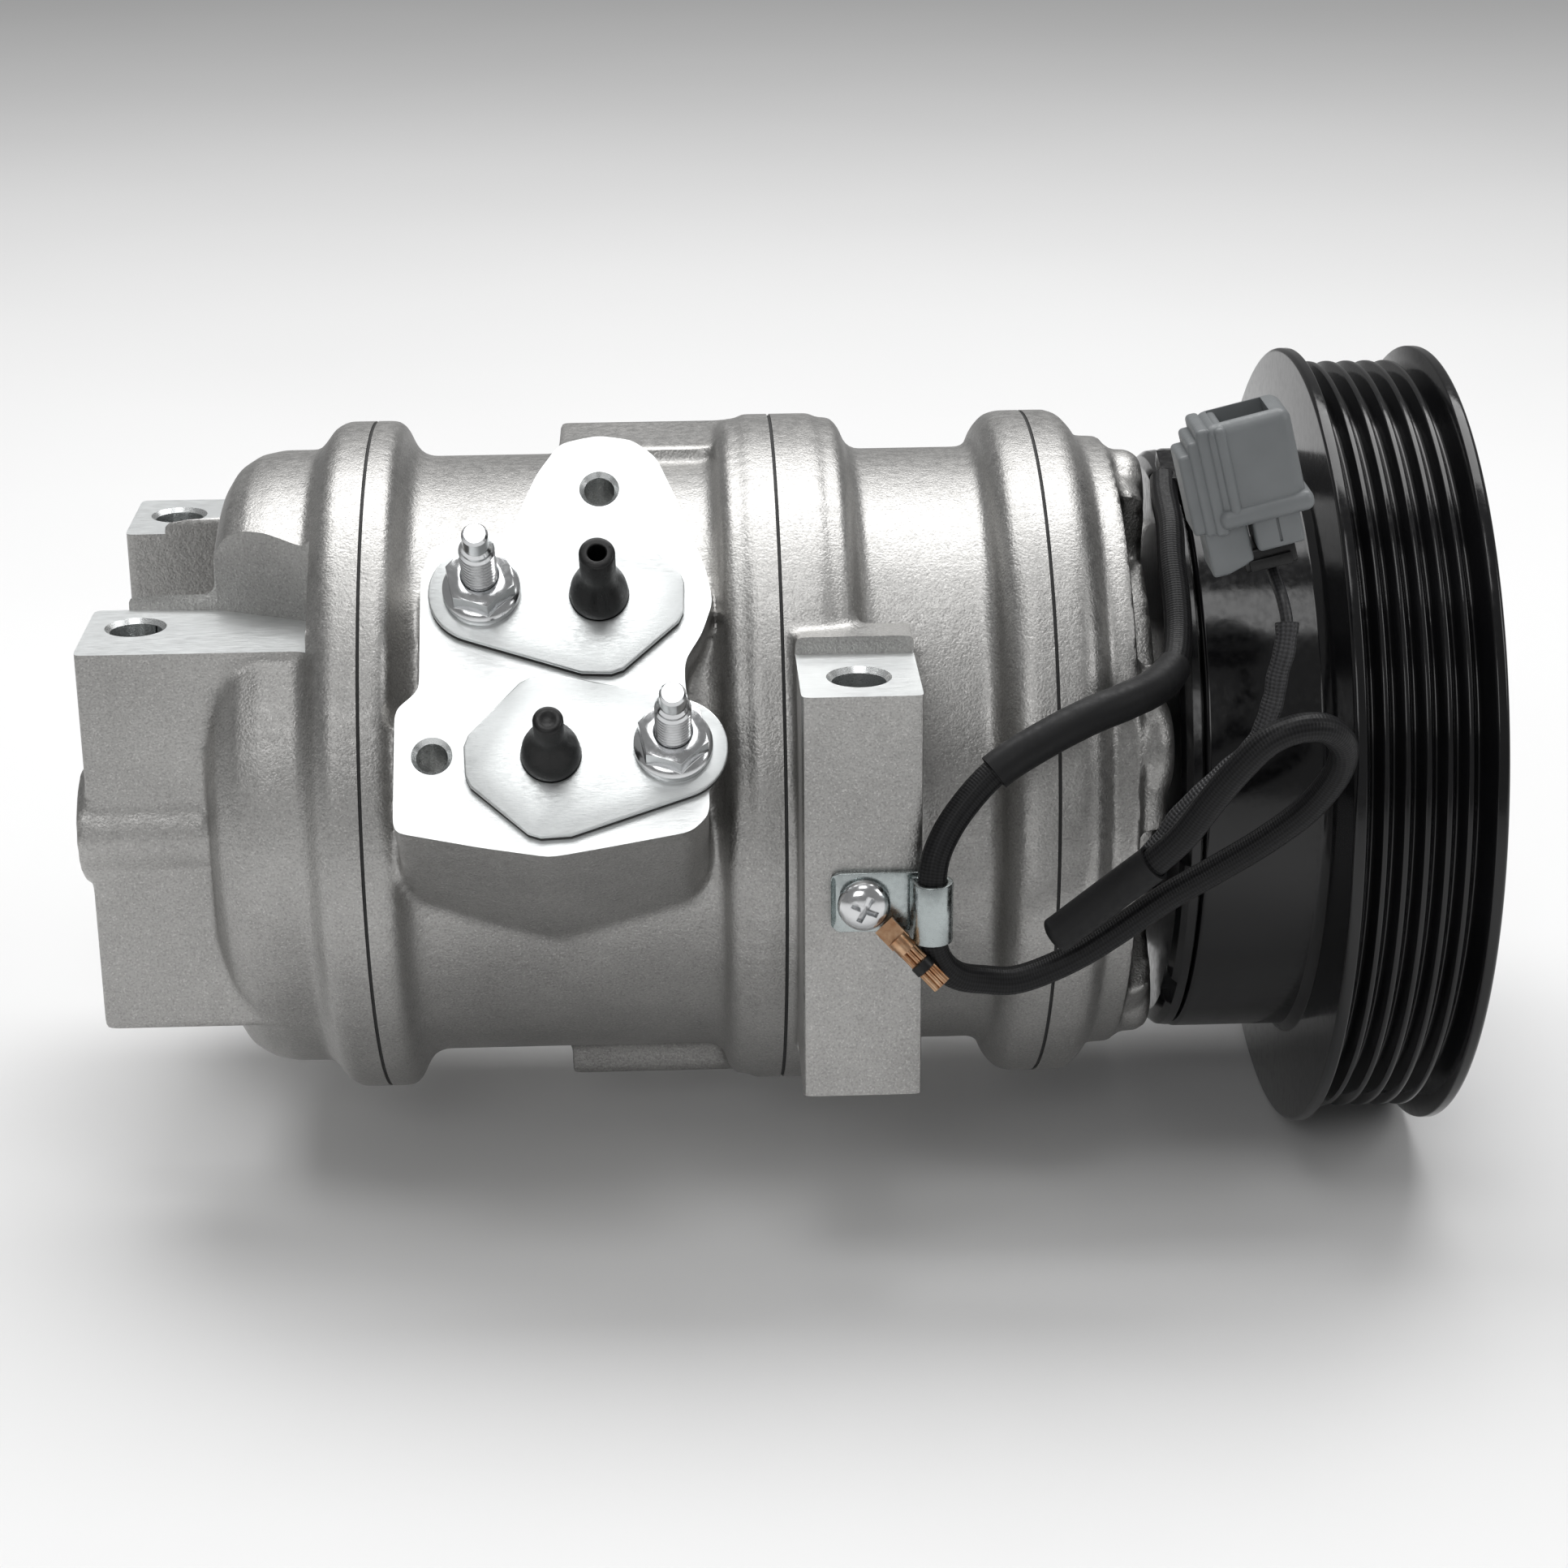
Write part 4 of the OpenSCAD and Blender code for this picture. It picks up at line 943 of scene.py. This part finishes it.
def clamp():
    plate = block((-99.9, -75.22, -5.6), (-85.6, -74.02, 4.8))
    edit_all(plate)
    bpy.ops.mesh.select_all(action="DESELECT")
    leave()
    for e in plate.data.edges:
        a, b = (plate.data.vertices[i].co / MM for i in e.vertices)
        e.select = a.x < -99 and b.x < -99 and abs(a.z - b.z) < 0.01
    pick(plate)
    bpy.ops.object.mode_set(mode="EDIT")
    bpy.ops.mesh.bevel(offset=1.6 * MM, segments=6, affect="EDGES")
    leave()
    carve(plate, rod(2.2, -80, -70, CLAMP_SCREW, "Y", 48))
    # the strap leaves the plate, goes round the lead and comes back
    line = [(-86.4, -75.22)]
    centre, r = Vector((-83.5, -77.6)), 3.0
    for k in range(0, 25):
        a = math.radians(140 - 11.5 * k)
        line.append((centre.x + r * math.cos(a), centre.y + r * math.sin(a)))
    line.append((-86.6, -76.2))
    bpy.ops.mesh.primitive_circle_add(vertices=3, radius=0.01)
    strap = bpy.context.active_object
    bm = bmesh.new()
    low = [bm.verts.new((x * MM, y * MM, -6.2 * MM)) for x, y in line]
    high = [bm.verts.new((x * MM, y * MM, 4.2 * MM)) for x, y in line]
    for i in range(len(line) - 1):
        bm.faces.new((low[i], low[i + 1], high[i + 1], high[i]))
    bm.to_mesh(strap.data)
    bm.free()
    modify(strap, "SOLIDIFY", thickness=0.001, offset=0)
    soften(strap, 0.2, 2, 50)
    soften(plate, 0.25, 3, 50)
    body = weld(strap, plate)
    hand_over(body, "p_clamp", "housing", [FINISHES["clamp"]], ["cable_clamp"], 40)

    x, z = CLAMP_SCREW
    head = lathe([(0, 70), (2, 70), (2, 75.6), (4.35, 75.9), (4.4, 76.4), (4.15, 77.2), (3.5, 77.9),
                  (2.4, 78.4), (1.2, 78.6),
                  (0, 78.62)], 72, (0, -1, 0), (0, 0, 1), (x, 0, z))
    for a in (25, 115):
        slot = block((-2.3, -79.5, -0.5), (2.3, -76.9, 0.5))
        taper = Matrix.Rotation(math.radians(a), 4, "Y")
        slot.matrix_world = Matrix.Translation(Vector((x, 0, z)) * MM) @ taper
        settle(slot)
        carve(head, slot)
    soften(head, 0.12, 2, 40)
    hand_over(head, "cross_head_screw", "housing", [FINISHES["zinc"]],
              ["clamp_screw"], 35)

    ring = rod(3.9, -75.85, -75.3, (x, z), "Y", 48)
    carve(ring, rod(2.2, -80, -70, (x, z), "Y", 32))
    tongue = block((4.6, -0.35, -1.9), (8.8, 0.35, 1.9))
    crimp = lathe([(1.0, 7.6), (1.75, 7.7), (1.75, 10.4), (1.0, 10.5)], 24)
    strands = [rod(0.45, 8, 18.4, (b, a), "X", 12) for a, b in ((-1.25, 0), (-0.42, 0.35), (0.42, 0.35),
            (1.25, 0),
                                                                (-0.85, -0.5), (0.0, -0.6), (0.85, -0.5))]
    tie = lathe([(1.3, 13.0), (1.9, 13.2), (1.9, 14.8), (1.3, 15.0)], 24)
    tail = weld(*strands, tongue, crimp)
    for o in (tail, tie):
        o.matrix_world = Matrix.Translation(Vector((x, -76.0,
                                                    z)) * MM) @ Matrix.Rotation(math.radians(45), 4, "Y") \
            @ Matrix.Rotation(math.radians(-16), 4, "Z")
        settle(o)
    lug = weld(ring, tail)
    hand_over(lug, "earth_lug", "housing", [FINISHES["copper"]], ["ground_terminal"], 40)
    hand_over(tie, "earth_wrap", "housing", [FINISHES["rubber"]], (), 40)
    return lug, tie


# ---------------------------------------------------------------- stage
def camera():
    bpy.ops.object.camera_add(location=Vector((-126.91, -575.24, 209.80)) * MM)
    cam = bpy.context.active_object
    azimuth, elevation, roll = -0.038896, 0.361283, -0.0078199
    back = Vector((math.sin(azimuth) * math.cos(elevation), -math.cos(azimuth) * math.cos(elevation),
                   math.sin(elevation)))
    right = (-back).cross(Vector((0, 0, 1))).normalized()
    up = right.cross(-back)
    x = right * math.cos(roll) + up * math.sin(roll)
    y = -right * math.sin(roll) + up * math.cos(roll)
    target = Vector((-104.53, 0, -7.69))
    turn = Matrix((x, y, back)).transposed().to_4x4()
    turn.translation = (target + back * 615.34) * MM
    cam.matrix_world = turn
    cam.data.sensor_width = 36
    cam.data.lens = 4073.1 / 1932 * 36
    cam.data.clip_start = 0.01
    bpy.context.scene.camera = cam
    return cam


def soft_box(name, place, target, size, power):
    bpy.ops.object.light_add(type="AREA", location=place)
    lamp = bpy.context.active_object
    lamp.name = name
    lamp.data.shape = "RECTANGLE"
    lamp.data.size, lamp.data.size_y = size
    lamp.data.energy = power
    way = Vector(target) - Vector(place)
    lamp.matrix_world = Matrix.Translation(place) @ way.to_track_quat("-Z", "Y").to_matrix().to_4x4()
    return lamp


def studio():
    bpy.ops.mesh.primitive_plane_add(size=14, location=(0, 3.0, -0.0718))
    floor = settle(bpy.context.active_object)
    floor.name = "studio_floor"
    f = Finish("studio_paper", (0.8, 0.8, 0.8), roughness=0.9, Specular_IOR_Level=0.0)
    f.colour(f.ramp(f.noise(400.0), (0.3, (0.79, 0.79, 0.79)), (0.7, (0.82, 0.82, 0.82))))
    floor.data.materials.append(f.m)
    world = bpy.data.worlds.new("studio_air")
    bpy.context.scene.world = world
    world.use_nodes = True
    world.node_tree.nodes["Background"].inputs["Color"].default_value = (1, 1, 1, 1)
    world.node_tree.nodes["Background"].inputs["Strength"].default_value = 0.27
    soft_box("top_box", (-0.1, 0.42, 1.1), (-0.1, 0, 0), (1.4, 0.8), 15)
    soft_box("front_box", (-0.5, -1.3, 0.75), (-0.1, 0, 0), (0.7, 0.5), 3.2)
    soft_box("side_box", (1.1, -0.5, 0.7), (-0.05, 0, 0), (0.5, 0.7), 3.5)
    soft_box("port_box", (-0.14, -0.42, 1.0), (-0.14, -0.05, 0.05), (0.42, 0.34), 1.7)
    v = bpy.context.scene.view_settings
    v.view_transform = "Standard"
    v.look = "None"


# ---------------------------------------------------------------- operators
def add_wiring():
    lead, wire, lead_path, wire_path = wiring()
    shell, lock = connector()
    lug, wrap = clamp()


def add_fittings():
    for side in PORTS:
        port_cap(side)
    port_plug("upper", 7.8, 3.0, 1.55, 16.6)
    port_plug("lower", 6.3, 2.5, 0, 15.4)
    studs_and_nuts()


class COMPRESSOR_OT_stage(bpy.types.Operator):
    """Adds the camera, the floor and the lights"""

    bl_idname = "compressor.stage"
    bl_label = "Stage"

    def execute(self, context):
        camera()
        studio()
        return {"FINISHED"}


class COMPRESSOR_OT_finishes(bpy.types.Operator):
    """Makes the finishes and gives the inner parts theirs"""

    bl_idname = "compressor.finishes"
    bl_label = "Finishes"

    def execute(self, context):
        make_finishes()
        finish_cad_nodes()
        return {"FINISHED"}


class COMPRESSOR_OT_wiring(bpy.types.Operator):
    """Adds the lead, its sleeves, clamp and connector"""

    bl_idname = "compressor.wiring"
    bl_label = "Wiring"

    def execute(self, context):
        add_wiring()
        return {"FINISHED"}


class COMPRESSOR_OT_rear_cover(bpy.types.Operator):
    """Casts the rear cover with its two bolt bosses"""

    bl_idname = "compressor.rear_cover"
    bl_label = "Rear cover"

    def execute(self, context):
        rear_cover()
        return {"FINISHED"}


class COMPRESSOR_OT_rear_block(bpy.types.Operator):
    """Casts the rear cylinder block with its port face"""

    bl_idname = "compressor.rear_block"
    bl_label = "Rear block"

    def execute(self, context):
        rear_block()
        return {"FINISHED"}


class COMPRESSOR_OT_front_block(bpy.types.Operator):
    """Casts the front cylinder block with its bolt boss"""

    bl_idname = "compressor.front_block"
    bl_label = "Front block"

    def execute(self, context):
        front_block()
        return {"FINISHED"}


class COMPRESSOR_OT_front_cover(bpy.types.Operator):
    """Casts the front cover and its nose"""

    bl_idname = "compressor.front_cover"
    bl_label = "Front cover"

    def execute(self, context):
        front_cover()
        return {"FINISHED"}


class COMPRESSOR_OT_pulley(bpy.types.Operator):
    """Turns the grooved pulley rotor"""

    bl_idname = "compressor.pulley"
    bl_label = "Pulley"

    def execute(self, context):
        pulley()
        return {"FINISHED"}


class COMPRESSOR_OT_fittings(bpy.types.Operator):
    """Adds the port caps, plugs, studs and nuts"""

    bl_idname = "compressor.fittings"
    bl_label = "Port fittings"

    def execute(self, context):
        add_fittings()
        return {"FINISHED"}


STEPS = [COMPRESSOR_OT_stage, COMPRESSOR_OT_finishes, COMPRESSOR_OT_wiring,
         COMPRESSOR_OT_rear_cover, COMPRESSOR_OT_rear_block, COMPRESSOR_OT_front_block,
         COMPRESSOR_OT_front_cover, COMPRESSOR_OT_pulley, COMPRESSOR_OT_fittings]


class COMPRESSOR_PT_panel(bpy.types.Panel):
    """Lists the compressor's steps"""

    bl_idname = "COMPRESSOR_PT_panel"
    bl_label = "Compressor"
    bl_space_type = "VIEW_3D"
    bl_region_type = "UI"
    bl_category = "Compressor"

    def draw(self, context):
        for group in (context.scene.compressor_castings, context.scene.compressor_clutch,
                      context.scene.compressor_wiring):
            box = self.layout.box()
            for name in group.bl_rna.properties.keys():
                if name not in ("rna_type", "name"):
                    box.prop(group, name)
        for step in STEPS:
            self.layout.operator(step.bl_idname)


CLASSES = [CastingSettings, ClutchSettings, WiringSettings, *STEPS, COMPRESSOR_PT_panel]


def register():
    for c in CLASSES:
        bpy.utils.register_class(c)
    bpy.types.Scene.compressor_castings = bpy.props.PointerProperty(type=CastingSettings)
    bpy.types.Scene.compressor_clutch = bpy.props.PointerProperty(type=ClutchSettings)
    bpy.types.Scene.compressor_wiring = bpy.props.PointerProperty(type=WiringSettings)


def unregister():
    del bpy.types.Scene.compressor_castings
    del bpy.types.Scene.compressor_clutch
    del bpy.types.Scene.compressor_wiring
    for c in reversed(CLASSES):
        bpy.utils.unregister_class(c)


def main():
    register()
    for step in STEPS:
        getattr(bpy.ops.compressor, step.bl_idname.split(".")[1])()


if __name__ == "__main__":
    main()
